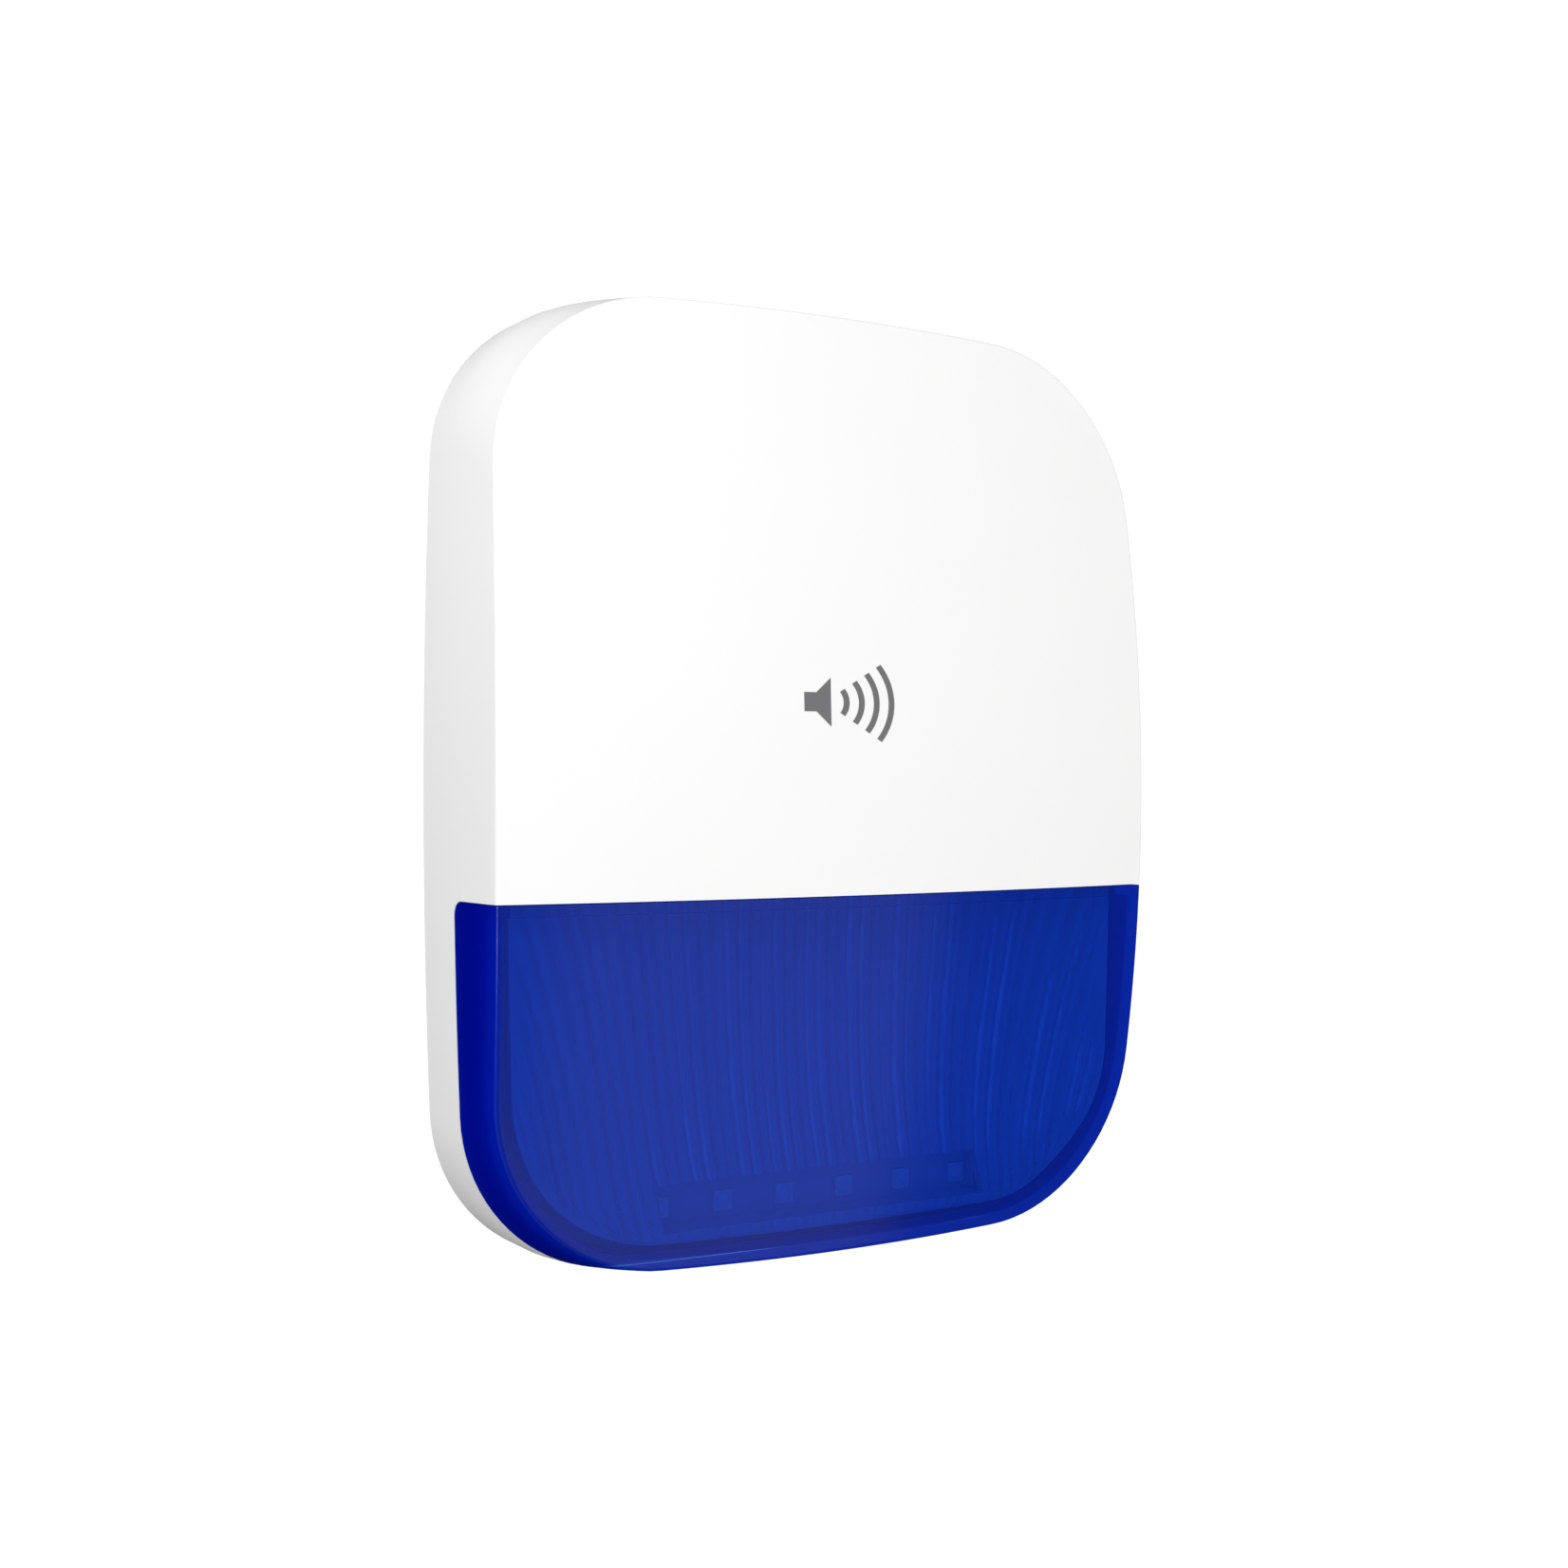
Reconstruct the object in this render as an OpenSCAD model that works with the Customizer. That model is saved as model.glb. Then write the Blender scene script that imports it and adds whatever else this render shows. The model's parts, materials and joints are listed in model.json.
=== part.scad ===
/* [Casing] */
// Width of the cover at mid height
body_w = 194; // [193:0.5:196]
// Height of the cover on the centre line
body_h = 240; // [239:0.5:242]
// Depth from the wall to the middle of the domed front
body_d = 51; // [50.5:0.5:52]
// Radius of the domed front
dome_r = 560; // [550:10:600]
// Radius of the four corners
corner_r = 41; // [40:0.5:42]
// Radius of the long arcs of the left and right sides
side_arc_r = 2000; // [1900:50:3300]
// Radius of the long arcs of the top and bottom
top_arc_r = 1900; // [1200:50:2200]
// Thickness of the cover and lens walls
wall = 2.5; // [2.4:0.1:2.6]
// Gap from the cover's rear edge to the wall
rear_gap = 1; // [0.5:0.1:1.5]

/* [Lens] */
// Height of the lens's top edge below the middle of the cover
seam_drop = 27.6; // [27:0.2:29]
// Distance from the wall to the lens's rear edge
lens_rear = 20; // [19.5:0.1:20.5]
// Visible gap around the lens
seam_gap = 0.3; // [0.2:0.05:0.5]
// Radius of the lens's upper rear corners
lens_corner = 3.5; // [2:0.1:4]

/* [Bracket] */
// Thickness of the wall plate
plate_t = 2.5; // [2:0.1:2.6]
// Gap from the cover's outer face in to the plate's edge
plate_inset = 5.5; // [5:0.1:6.5]
// Spacing of the wall screw holes across
screw_dx = 110; // [106:1:114]
// Spacing of the wall screw holes up and down
screw_dz = 150; // [146:1:154]
// Diameter of the wall screw holes
screw_hole_d = 5; // [4:0.1:5.5]
// Height of the hook pins above the middle of the cover
hinge_z = 112; // [112:0.1:112.2]
// Distance of the hook pins from the wall
hinge_d = 5; // [5:0.1:5.1]
// Diameter of the hook pins
pin_d = 4; // [3.6:0.1:4]

/* [Siren] */
// Diameter of the siren housing
siren_d = 58; // [56:1:58]
// Diameter of the piezo disc
piezo_d = 50; // [48:1:50]
// Number of sound slots in the underside
slot_count = 9; // [5:2:9]
// Number of LEDs in the flash
led_count = 6; // [4:1:6]

/* [Hidden] */

// Depths here are distances from the wall, along -Y
far = 400;
eps = 0.01;
arc_fn = 720;
dome_fn = 360;
round_fn = 48;

// Centres of the arcs of the outline: the side arc at (side_cx, 0), the top arc at (0, top_cz)
side_cx = body_w / 2 - side_arc_r;
top_cz = body_h / 2 - top_arc_r;
corner_from_side = side_arc_r - corner_r;
corner_from_top = top_arc_r - corner_r;
arc_gap = norm([side_cx, top_cz]);
along = (corner_from_side ^ 2 - corner_from_top ^ 2 + arc_gap ^ 2) / (2 * arc_gap);
across = sqrt(corner_from_side ^ 2 - along ^ 2);
arc_dir = [-side_cx, top_cz] / arc_gap;
corner_c = [side_cx, 0] + along * arc_dir + across * [-arc_dir.y, arc_dir.x];
side_turn = atan2(corner_c.y, corner_c.x - side_cx);
top_turn = atan2(corner_c.x, corner_c.y - top_cz);

// Back cover and its seat
back_rear = 8.5;
back_front = 11;
gasket_t = 1;
seat_rear = back_front + gasket_t;
seat_t = 3;
seat_w = 7.5;
back_inset = wall + 0.3;
boss_points = [for (sx = [-1, 1], p = [[77, 100], [88.5, 20], [77, -100]]) [sx * p.x, p.y]];
back_screw_points = concat(boss_points, [for (sx = [-1, 1]) [sx * 88, -58]]);
back_screw_d = 3;
back_head_d = 5.6;
back_head_h = 1.6;
back_screw_l = 8;

// Lens rim
rim_w = 3;
rim_t = 5.2;
lens_gasket_t = 1.2;
flange_rear = 17.5;
flange_top = -24.5;
seam_z = -seam_drop;

// Reflector tray
tray_inset = 5.8;
tray_t = 1.8;
tray_floor = 22.6;
tray_side_r = 290;
tray_fall_r = 150;
tray_mid_z = -52;
window_w = 96;
window_z0 = -109;
window_z1 = -98;
tray_screw_points = [for (sx = [-1, 1], p = [[83, -42], [57, -104.5]]) [sx * p.x, p.y]];
tray_screw_d = 2.2;
lug_d = 8;
lug_front = flange_rear - 0.1;
lug_bore_d = 5.4;
lug_bore_h = 2.2;
led_board_rear = 23;
led_board_t = 1.2;
led_board_front = led_board_rear + led_board_t;
led_board_w = 99;
led_board_z = [-110.8, -96.5];
led_pitch = 18;
led_size = [5, 1.6, 5];
led_z = -104.5;

// Lip and ribs of the wall plate, and its break-away disc
lip_d = 4.4;
lip_w = 1.6;
rib_d = 4;
break_c = [58, -30];
break_d = 22;

// Hooks on the back cover and ears on the bracket
hook_x = 45;
hook_w = 10;
hook_r = 4;
hook_bore_d = pin_d + 0.12;
ear_t = 3;
ear_gap = 1;
ear_r = 3.1;
top_relief_d = 3.8;
top_relief_w = 150;
plate_top = 112.5;

// Lock screw and the bracket's fork tab
lock_d = 5.5;
lock_screw_d = 3.5;
lock_hole_d = 3.7;
tab_z0 = -114.8;
tab_z1 = -111.8;
tab_w = 26;
tab_reach = 8;
fork_w = 4.6;
collar_d = 5.2;
collar_h = 3;
lock_head_d = 7;
lock_head_h = 2;
lock_head_z = -120.4;
lug_w = 16;
lug_z = [-117.5, -115.9];
seal_t = 0.8;
seal_d = 6.4;

// Main board
board_rear = 17;
board_t = 1.6;
board_x = [3, 74];
board_z = [38, 96];
board_posts = [[10, 44], [10, 91], [69, 44], [69, 89]];
post_d = 6;
board_screw_d = 2.5;

// Battery compartment
bay_x = [-82, -8];
bay_z = [36, 80];
bay_wall = 1.5;
bay_inner_x = [bay_x[0] + bay_wall, bay_x[1] - bay_wall];
bay_inner_z = [bay_z[0] + bay_wall, bay_z[1] - bay_wall];
bay_rib_z = [57.3, 58.7];
bay_front = 31.5;
cell_d = 17;
cell_l = 34.5;
cell_gap = 0.2;
cell_tip_d = 6;
cell_tip_l = 1.2;
cell_depth = 20.5;
cell_rows = [48.5, 67.5];
contact_t = 0.8;
cover_rear = 6.2;
cover_t = 2;
cover_travel = 10;
grip_count = 6;
grip_pitch = 3;
grip_z = [48, 68];
rail_lip_d = 5;
rail_lip_t = 0.9;

// Siren housing and horn
siren_c = [0, 6];
siren_rear = 11;
siren_front = 33;
duct_w = 44;
duct_mouth_w = 84;
duct_rear = 11;
duct_front = 17;
duct_wall = 1.2;
duct_top = -20;
duct_knee_z = -96;
duct_gap_x = [-duct_mouth_w / 2 - 0.2, duct_mouth_w / 2 + 0.2];
duct_gap_z = -90;
ear_points = [[0, 39], [-29, -10], [29, -10]];
ear_d = 7;
ear_rise = 2.5;
slot_w = 3;
slot_pitch = 8.4;
slot_rear = 13;
slot_front = 16.4;

// Tamper plunger
tamper_c = [38, 72];
plunger_d = 4.4;
plunger_tip_d = 9;
plunger_tip_t = 1.3;
plunger_rear = 3;
plunger_end = 12.4;
clip_rear = 11.1;
clip_t = 0.8;
spring_wire = 0.6;
spring_mean_d = 7;
spring_turns = 4;
spring_rear = plunger_rear + plunger_tip_t;
spring_len = back_rear - spring_rear;

// Power switch and pairing button
switch_c = [22, 84];
switch_travel = 4;
knob_w = 4;
button_c = [56, 84];
button_d = 7;

grommet_c = [54, 29];
grommet_hole_d = 9;

ribbon_z = 43;
socket_front = board_rear + board_t + 2.4;

// Flat outline of the cover, taken in by inset all round
module outline(inset) {
    quarter = [
        for (i = [0 : 4]) let (a = side_turn * i / 4)
            [side_cx, 0] + (side_arc_r - inset) * [cos(a), sin(a)],
        for (i = [1 : 11]) let (a = side_turn + (90 - top_turn - side_turn) * i / 12)
            corner_c + (corner_r - inset) * [cos(a), sin(a)],
        for (i = [4 : -1 : 0]) let (a = 90 - top_turn * i / 4)
            [0, top_cz] + (top_arc_r - inset) * [cos(a), sin(a)]
    ];
    n = len(quarter);
    polygon([
        for (i = [0 : n - 1]) quarter[i],
        for (i = [n - 2 : -1 : 0]) flip([-1, 1], quarter[i]),
        for (i = [1 : n - 1]) flip([-1, -1], quarter[i]),
        for (i = [n - 2 : -1 : 1]) flip([1, -1], quarter[i])
    ]);
}

function flip(q, p) = [q.x * p.x, q.y * p.y];

// Prism of the outline between two distances from the wall
module slab(inset, near_d, far_d) {
    rotate([90, 0, 0]) translate([0, 0, near_d]) linear_extrude(far_d - near_d) outline(inset);
}

module dome(inset) {
    translate([0, dome_r - body_d, 0]) sphere(dome_r - inset, $fn = dome_fn);
}

// Solid of the cover's outer form, taken in by inset, from near_d forward to the dome
module form(inset, near_d) {
    intersection() {
        slab(inset, near_d, body_d + wall);
        dome(inset);
    }
}

// Wall of the cover's form between two insets
module shell(inset, thickness, near_d) {
    difference() {
        form(inset, near_d);
        form(inset + thickness, near_d - wall);
    }
}

// Box from its ranges in x, in distance from the wall, and in z
module block(x, d, z) {
    translate([x[0], -d[1], z[0]]) cube([x[1] - x[0], d[1] - d[0], z[1] - z[0]]);
}

// Box of width w and height h centred on p, between two distances from the wall
module box_at(p, w, h, d) {
    block([p.x - w / 2, p.x + w / 2], d, [p.y - h / 2, p.y + h / 2]);
}

// Round bar along Y centred on p, between two distances from the wall
module post(p, d, near_d, far_d) {
    translate([p.x, -near_d, p.y]) rotate([90, 0, 0]) {
        cylinder(d = d, h = far_d - near_d, $fn = round_fn);
    }
}

// Round bar along X
module cross_bar(x0, x1, depth, z, d) {
    translate([x0, -depth, z]) rotate([0, 90, 0]) cylinder(d = d, h = x1 - x0, $fn = round_fn);
}

// Round bar along Z on the lock screw's axis
module upright(z0, z1, d) {
    translate([0, -lock_d, z0]) cylinder(d = d, h = z1 - z0, $fn = round_fn);
}

// Bar that follows points given as x, distance from the wall, z
module wire(points, d) {
    for (i = [0 : len(points) - 2]) {
        a = [points[i].x, -points[i].y, points[i].z];
        step = [points[i + 1].x, -points[i + 1].y, points[i + 1].z] - a;
        translate(a) rotate([0, acos(step.z / norm(step)), atan2(step.y, step.x)]) {
            cylinder(d = d, h = norm(step) + (i < len(points) - 2 ? d / 2 : 0), $fn = 32);
        }
    }
}

// Pan-head screw along Y, head at the rear when facing is 1 and at the front when it is -1
module screw(p, head_face, facing, head_d, head_h, shank_d, shank_l) {
    translate([p.x, -head_face, p.y]) rotate([90, 0, 0]) facing_way(facing) {
        difference() {
            cylinder(d = head_d, h = head_h, $fn = round_fn);
            cross_slot(head_d);
        }
        translate([0, 0, head_h - eps]) cylinder(d = shank_d, h = shank_l + eps, $fn = round_fn);
    }
}

module cross_slot(head_d) {
    for (turn = [0, 90]) rotate(turn) {
        translate([-head_d * 0.3, -head_d * 0.07, -eps]) cube([head_d * 0.6, head_d * 0.14, head_d * 0.14]);
    }
}

module facing_way(facing) {
    mirror([0, 0, facing < 0 ? 1 : 0]) children();
}

// Space that the lens takes, grown by gap all round
module lens_zone(gap) {
    top = seam_z + gap;
    rear = lens_rear - gap;
    r = lens_corner + gap;
    rotate([90, 0, 90]) translate([0, 0, -far / 2]) linear_extrude(far) union() {
        translate([-far, -far]) square([far - rear, far + top - r]);
        translate([-far, -far]) square([far - rear - r, far + top]);
        translate([-rear - r, top - r]) circle(r, $fn = round_fn);
    }
}

module front_cover() {
    color("white") difference() {
        union() {
            shell(0, wall, rear_gap);
            cover_seat();
            intersection() {
                form(0.5, seat_rear);
                cover_bosses();
            }
            block([-lug_w / 2, lug_w / 2], [1.6, back_rear], lug_z);
        }
        lens_zone(seam_gap / 2);
        sound_slots();
        top_relief();
        upright(lock_head_z - wall, lug_z[1] + 1, lock_hole_d);
        upright(lock_head_z - wall, lug_z[0], lock_head_d + 0.8);
        for (p = back_screw_points) {
            post(p, back_screw_d - 0.4, seat_rear - eps, back_rear + back_screw_l + 0.5);
        }
        for (p = tray_screw_points) {
            post(p, lug_bore_d, seat_rear - eps, seat_rear + lug_bore_h);
            post(p, tray_screw_d + 0.3, seat_rear, far / 4);
        }
    }
}

// Ring inside the cover that the back cover's gasket presses on
module cover_seat() {
    difference() {
        slab(wall - eps, seat_rear, seat_rear + seat_t);
        slab(wall + seat_w, seat_rear - 1, seat_rear + seat_t + 1);
        block(duct_gap_x, [seat_rear - 1, seat_rear + seat_t + 1], [-far, duct_gap_z]);
    }
}

module cover_bosses() {
    for (p = back_screw_points) post(p, lug_d, seat_rear, p.y > 0 ? 26 : lug_front);
    for (p = tray_screw_points) post(p, lug_d, seat_rear, lug_front);
}

module sound_slots() {
    for (i = [0 : slot_count - 1]) {
        x = (i - (slot_count - 1) / 2) * slot_pitch;
        z = [-far / 2, -body_h / 2 + 3 * wall];
        block([x - slot_w / 2, x + slot_w / 2], [slot_rear, slot_front], z);
    }
}

module top_relief() {
    block([-top_relief_w / 2, top_relief_w / 2], [0, top_relief_d], [hinge_z - 2, far / 2]);
}

module blue_lens() {
    color("mediumblue", 0.7) {
        intersection() {
            union() {
                shell(0, wall, lens_rear - 1);
                lens_rim();
            }
            lens_zone(-seam_gap / 2);
        }
        lens_flange();
    }
}

// Thick border of the lens
module lens_rim() {
    intersection() {
        shell(wall - eps, rim_t - wall + eps, lens_rear - 1);
        union() {
            block([-far, far], [0, far], [seam_z - rim_w, seam_z]);
            block([-far, far], [0, lens_rear + rim_w], [-far, seam_z]);
        }
    }
}

// Flange behind the cover's edge
module lens_flange() {
    intersection() {
        shell(wall + lens_gasket_t, rim_t - wall - lens_gasket_t, flange_rear);
        union() {
            block([-far, far], [0, far], [seam_z - 1, flange_top]);
            block([-far, far], [0, lens_rear + 1], [-far, flange_top]);
        }
    }
}

module lens_gasket() {
    color("dimgray") intersection() {
        shell(wall, lens_gasket_t, flange_rear);
        union() {
            block([-far, far], [0, far], [seam_z + seam_gap / 2, flange_top]);
            block([-far, far], [0, lens_rear - seam_gap / 2], [-far, flange_top]);
        }
    }
}

// Hollow that the reflector's face follows, a valley across and a valley down, grown by extra
module valley(extra) {
    intersection() {
        translate([0, -tray_floor - tray_side_r, -far / 2]) {
            cylinder(r = tray_side_r + extra, h = far, $fn = arc_fn);
        }
        translate([-far / 2, -tray_floor - tray_fall_r, tray_mid_z]) rotate([0, 90, 0]) {
            cylinder(r = tray_fall_r + extra, h = far, $fn = arc_fn);
        }
    }
}

module tray_zone(inset, near_d) {
    intersection() {
        form(inset, near_d);
        block([-far, far], [near_d, far], [-far, flange_top - 1]);
    }
}

module reflector_tray() {
    color("silver") difference() {
        intersection() {
            tray_zone(tray_inset, flange_rear);
            union() {
                valley(tray_t);
                difference() {
                    form(0, flange_rear);
                    form(tray_inset + tray_t, flange_rear - 1);
                }
                for (p = tray_screw_points) post(p, lug_d - 1, flange_rear, body_d);
                window_frame();
            }
        }
        valley(0);
        block([-window_w / 2, window_w / 2], [0, far], [window_z0, window_z1]);
        for (p = tray_screw_points) post(p, tray_screw_d, flange_rear - 1, tray_floor + 2);
    }
}

// Walls round the LED window, back to the LED board
module window_frame() {
    block([-led_board_w / 2, led_board_w / 2], [led_board_front, body_d], led_board_z);
}

module reflector_screws() {
    color("gainsboro") for (p = tray_screw_points) {
        screw(p, seat_rear + 0.2, 1, 5, 1.8, tray_screw_d, 8);
    }
}

module led_board() {
    color("ghostwhite") {
        block([-led_board_w / 2, led_board_w / 2], [led_board_rear, led_board_front], led_board_z);
    }
}

module led_emitters() {
    color("lightyellow") for (i = [0 : led_count - 1]) {
        x = (i - (led_count - 1) / 2) * led_pitch;
        box_at([x, led_z], led_size.x, led_size.z, [led_board_front, led_board_front + led_size.y]);
    }
}

module led_flat_lead() {
    x = [40, 47];
    rear = led_board_rear - 0.4;
    color("ivory") {
        block(x, [rear, led_board_rear], [led_board_z[0] + 2, ribbon_z + 0.2]);
        block(x, [socket_front - 1, led_board_rear], [ribbon_z - 0.2, ribbon_z + 0.2]);
    }
}

module back_cover() {
    color("whitesmoke") difference() {
        union() {
            slab(back_inset, back_rear, back_front);
            hooks();
            for (p = board_posts) post(p, post_d, back_front - eps, board_rear);
            battery_rails();
        }
        block(bay_inner_x, [0, far], bay_inner_z);
        for (p = back_screw_points) {
            post(p, back_screw_d + 0.4, 0, far);
            post(p, back_head_d + 0.4, 0, back_rear + back_head_h);
        }
        post(tamper_c, plunger_d + 0.12, 0, far);
        post(button_c, button_d + 0.16, 0, far);
        block(
            [switch_c.x - knob_w / 2 - switch_travel - 0.3, switch_c.x + knob_w / 2 + 0.3],
            [0, far], [switch_c.y - 2.3, switch_c.y + 2.3]
        );
        post(grommet_c, grommet_hole_d, 0, far);
        for (p = board_posts) post(p, board_screw_d - 0.4, back_front + 1, far);
    }
}

// Two open hooks that hang over the bracket's pins
module hooks() {
    for (sx = [-1, 1]) {
        x0 = sx * hook_x - hook_w / 2;
        difference() {
            union() {
                cross_bar(x0, x0 + hook_w, hinge_d, hinge_z, 2 * hook_r);
                block([x0, x0 + hook_w], [hinge_d, back_rear + eps], [hinge_z - hook_r, hinge_z + hook_r]);
            }
            cross_bar(x0 - 1, x0 + hook_w + 1, hinge_d, hinge_z, hook_bore_d);
            block(
                [x0 - 1, x0 + hook_w + 1], [hinge_d - hook_bore_d / 2, hinge_d + hook_bore_d / 2],
                [hinge_z - hook_r - 1, hinge_z]
            );
        }
    }
}

module battery_rails() {
    x = [bay_x[0] - 1, bay_x[1] + cover_travel + 4];
    for (side = [0, 1]) {
        z = bay_z[side];
        dir = side == 0 ? -1 : 1;
        outer = z + dir * 4.6;
        inner = z + dir * 2.3;
        lip = z - dir * 0.5;
        block(x, [rail_lip_d, back_rear + eps], [min(outer, inner), max(outer, inner)]);
        block(x, [rail_lip_d, rail_lip_d + rail_lip_t], [min(outer, lip), max(outer, lip)]);
    }
}

module back_cover_gasket() {
    color("dimgray") difference() {
        slab(wall + 1, back_front, seat_rear);
        slab(wall + seat_w - 1, 0, far / 4);
        for (p = back_screw_points) post(p, back_screw_d + 0.6, 0, far / 4);
        block(duct_gap_x, [0, far], [-far, duct_gap_z]);
    }
}

module back_cover_screws() {
    color("gainsboro") for (p = back_screw_points) {
        screw(p, back_rear, 1, back_head_d, back_head_h, back_screw_d, back_screw_l - back_head_h);
    }
}

module main_board() {
    color("darkgreen") difference() {
        intersection() {
            block(board_x, [board_rear, board_rear + board_t], board_z);
            slab(wall + seat_w + 2, 0, far / 4);
        }
        for (p = board_posts) post(p, board_screw_d + 0.3, 0, far / 4);
    }
}

module board_screws() {
    color("gainsboro") for (p = board_posts) {
        screw(p, board_rear + board_t + 1.6, -1, 4.6, 1.6, board_screw_d, 6);
    }
}

module ribbon_socket() {
    color("ivory") difference() {
        block([38, 49], [board_rear + board_t, socket_front], [ribbon_z - 2, ribbon_z + 2]);
        block([39.9, 47.1], [socket_front - 1, far / 4], [ribbon_z - 0.3, ribbon_z + 0.3]);
    }
}

module processor() {
    front = board_rear + board_t;
    color("black") block([30, 42], [front, front + 1.4], [52, 64]);
}

module radio_module() {
    front = board_rear + board_t;
    color("silver") block([48, 66], [front, front + 3], [64, 82]);
}

// Strip antenna folded along the top edge of the board
module antenna() {
    front = board_rear + board_t;
    color("goldenrod") {
        block([22, 23], [front, front + 8], [91, 94]);
        block([22, 62], [front + 7.2, front + 8], [91, 94]);
        block([61, 62], [front, front + 8], [91, 94]);
    }
}

module capacitors() {
    front = board_rear + board_t;
    color("midnightblue") for (x = [50, 62]) {
        post([x, 54], 10, front, front + 12.5);
    }
}

module terminal_block() {
    color("green") difference() {
        block([46, 62], [12.4, board_rear], [39, 48]);
        for (x = [50, 58]) post([x, 43.5], 3, 12, 15);
    }
}

module cable_grommet() {
    color("dimgray") difference() {
        union() {
            post(grommet_c, grommet_hole_d + 4, back_rear - 1.2, back_rear);
            post(grommet_c, grommet_hole_d, back_rear - eps, back_front + eps);
            post(grommet_c, grommet_hole_d + 3, back_front, back_front + 1.2);
        }
        post(grommet_c, 2, back_rear - 2, back_front + 0.4);
    }
}

module siren_housing() {
    color("dimgray") difference() {
        union() {
            post(siren_c, siren_d, siren_rear, siren_front);
            for (p = ear_points) hull() {
                post(p, ear_d, siren_rear, siren_rear + ear_rise);
                post(siren_c + (p - siren_c) * 0.6, ear_d, siren_rear, siren_rear + ear_rise);
            }
        }
        for (p = ear_points) post(p, 2.8, 0, far);
        post(siren_c, piezo_d + 0.4, siren_rear + 6, siren_front + 1);
        post(siren_c, piezo_d - 6, siren_rear + 1.5, siren_front + 1);
        x = duct_w / 2 - duct_wall;
        block([-x, x], [duct_rear + 1.5, duct_front - 0.5], [-far, siren_c.y]);
    }
}

module piezo_disc() {
    color("goldenrod") post(siren_c, piezo_d, siren_rear + 6, siren_rear + 6.5);
    color("white") post(siren_c, piezo_d * 0.6, siren_rear + 6.5, siren_rear + 6.9);
}

module siren_cap() {
    color("black") difference() {
        union() {
            post(siren_c, piezo_d + 0.2, siren_rear + 15, siren_front);
            post(siren_c, siren_d, siren_front, siren_front + 1.5);
        }
        post(siren_c, piezo_d - 4, siren_rear, siren_front - 1);
    }
}

module siren_screws() {
    color("gainsboro") for (p = ear_points) {
        screw(p, siren_rear + ear_rise + 1.6, -1, 4.8, 1.6, 2.4, 4.4);
    }
}

module siren_leads() {
    front = siren_front + 1.5;
    board_front = board_rear + board_t;
    color("crimson") for (shift = [0, 3]) {
        wire([
            [14 + shift, front + 0.7, 14], [20 + shift, front + 0.7, 30], [20 + shift, 27, 39],
            [20 + shift, board_front + 0.7, 44], [20 + shift, board_front + 0.7, 47]
        ], 1.2);
    }
}

module duct_outline(inset) {
    top = duct_w / 2 - inset;
    mouth = duct_mouth_w / 2 - inset;
    polygon([
        [-top, duct_top], [-mouth, duct_knee_z], [-mouth, -far / 2],
        [mouth, -far / 2], [mouth, duct_knee_z], [top, duct_top]
    ]);
}

// Flat horn from the siren down to the sound slots
module horn_duct() {
    color("dimgray") intersection() {
        difference() {
            rotate([90, 0, 0]) translate([0, 0, duct_rear]) {
                linear_extrude(duct_front - duct_rear) duct_outline(0);
            }
            rotate([90, 0, 0]) translate([0, 0, duct_rear + duct_wall]) {
                linear_extrude(duct_front - duct_rear - 2 * duct_wall) duct_outline(duct_wall);
            }
            post(siren_c, siren_d + 0.2, 0, far);
        }
        form(wall + 0.9, 0);
    }
}

module sound_mesh() {
    color("gray") intersection() {
        shell(wall, 0.6, seat_rear + 0.3);
        block([-39, 39], [12.7, 16.9], [-far, -100]);
    }
}

module battery_holder() {
    color("black") difference() {
        block(bay_x, [back_front, bay_front], bay_z);
        block(bay_inner_x, [0, bay_front - bay_wall], [bay_inner_z[0], bay_rib_z[0]]);
        block(bay_inner_x, [0, bay_front - bay_wall], [bay_rib_z[1], bay_inner_z[1]]);
    }
}

module batteries() {
    color("royalblue") for (z = cell_rows, side = [-1, 1]) {
        centre = (bay_x[0] + bay_x[1]) / 2;
        x0 = side < 0 ? centre - cell_l - cell_gap / 2 : centre + cell_gap / 2;
        cross_bar(x0, x0 + cell_l - cell_tip_l, cell_depth, z, cell_d);
        cross_bar(x0 + cell_l - cell_tip_l - eps, x0 + cell_l, cell_depth, z, cell_tip_d);
    }
}

module battery_contacts() {
    color("silver") for (z = cell_rows, side = [0, 1]) {
        x0 = side == 0 ? bay_x[0] + bay_wall : bay_x[1] - bay_wall - contact_t;
        block([x0, x0 + contact_t], [14, 27], [z - 6, z + 6]);
    }
}

module battery_leads() {
    board_front = board_rear + board_t;
    color("crimson") for (z = [66, 70]) {
        wire([[bay_x[1] + 0.6, 24, z], [0, 24, z], [6, 22, z], [8, board_front + 0.6, z]], 1.2);
    }
}

module battery_cover() {
    color("whitesmoke") {
        block(
            [bay_x[0] - 1, bay_x[1] + 2], [cover_rear, cover_rear + cover_t], [bay_z[0] - 2, bay_z[1] + 2]
        );
        for (i = [0 : grip_count - 1]) {
            x = bay_x[1] - 12 - i * grip_pitch;
            block([x, x + 1.2], [cover_rear - 0.8, cover_rear + eps], grip_z);
        }
    }
}

module tamper_plunger() {
    color("white") {
        post(tamper_c, plunger_tip_d, plunger_rear, plunger_rear + plunger_tip_t);
        post(tamper_c, plunger_d, plunger_rear + plunger_tip_t - eps, plunger_end);
    }
}

module tamper_clip() {
    color("silver") difference() {
        post(tamper_c, plunger_d + 3, clip_rear, clip_rear + clip_t);
        post(tamper_c, plunger_d, clip_rear - 1, clip_rear + 2);
    }
}

function spring_point(t) = [
    spring_mean_d / 2 * cos(360 * spring_turns * t),
    spring_mean_d / 2 * sin(360 * spring_turns * t),
    spring_wire / 2 + (spring_len - spring_wire) * t
];

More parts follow.
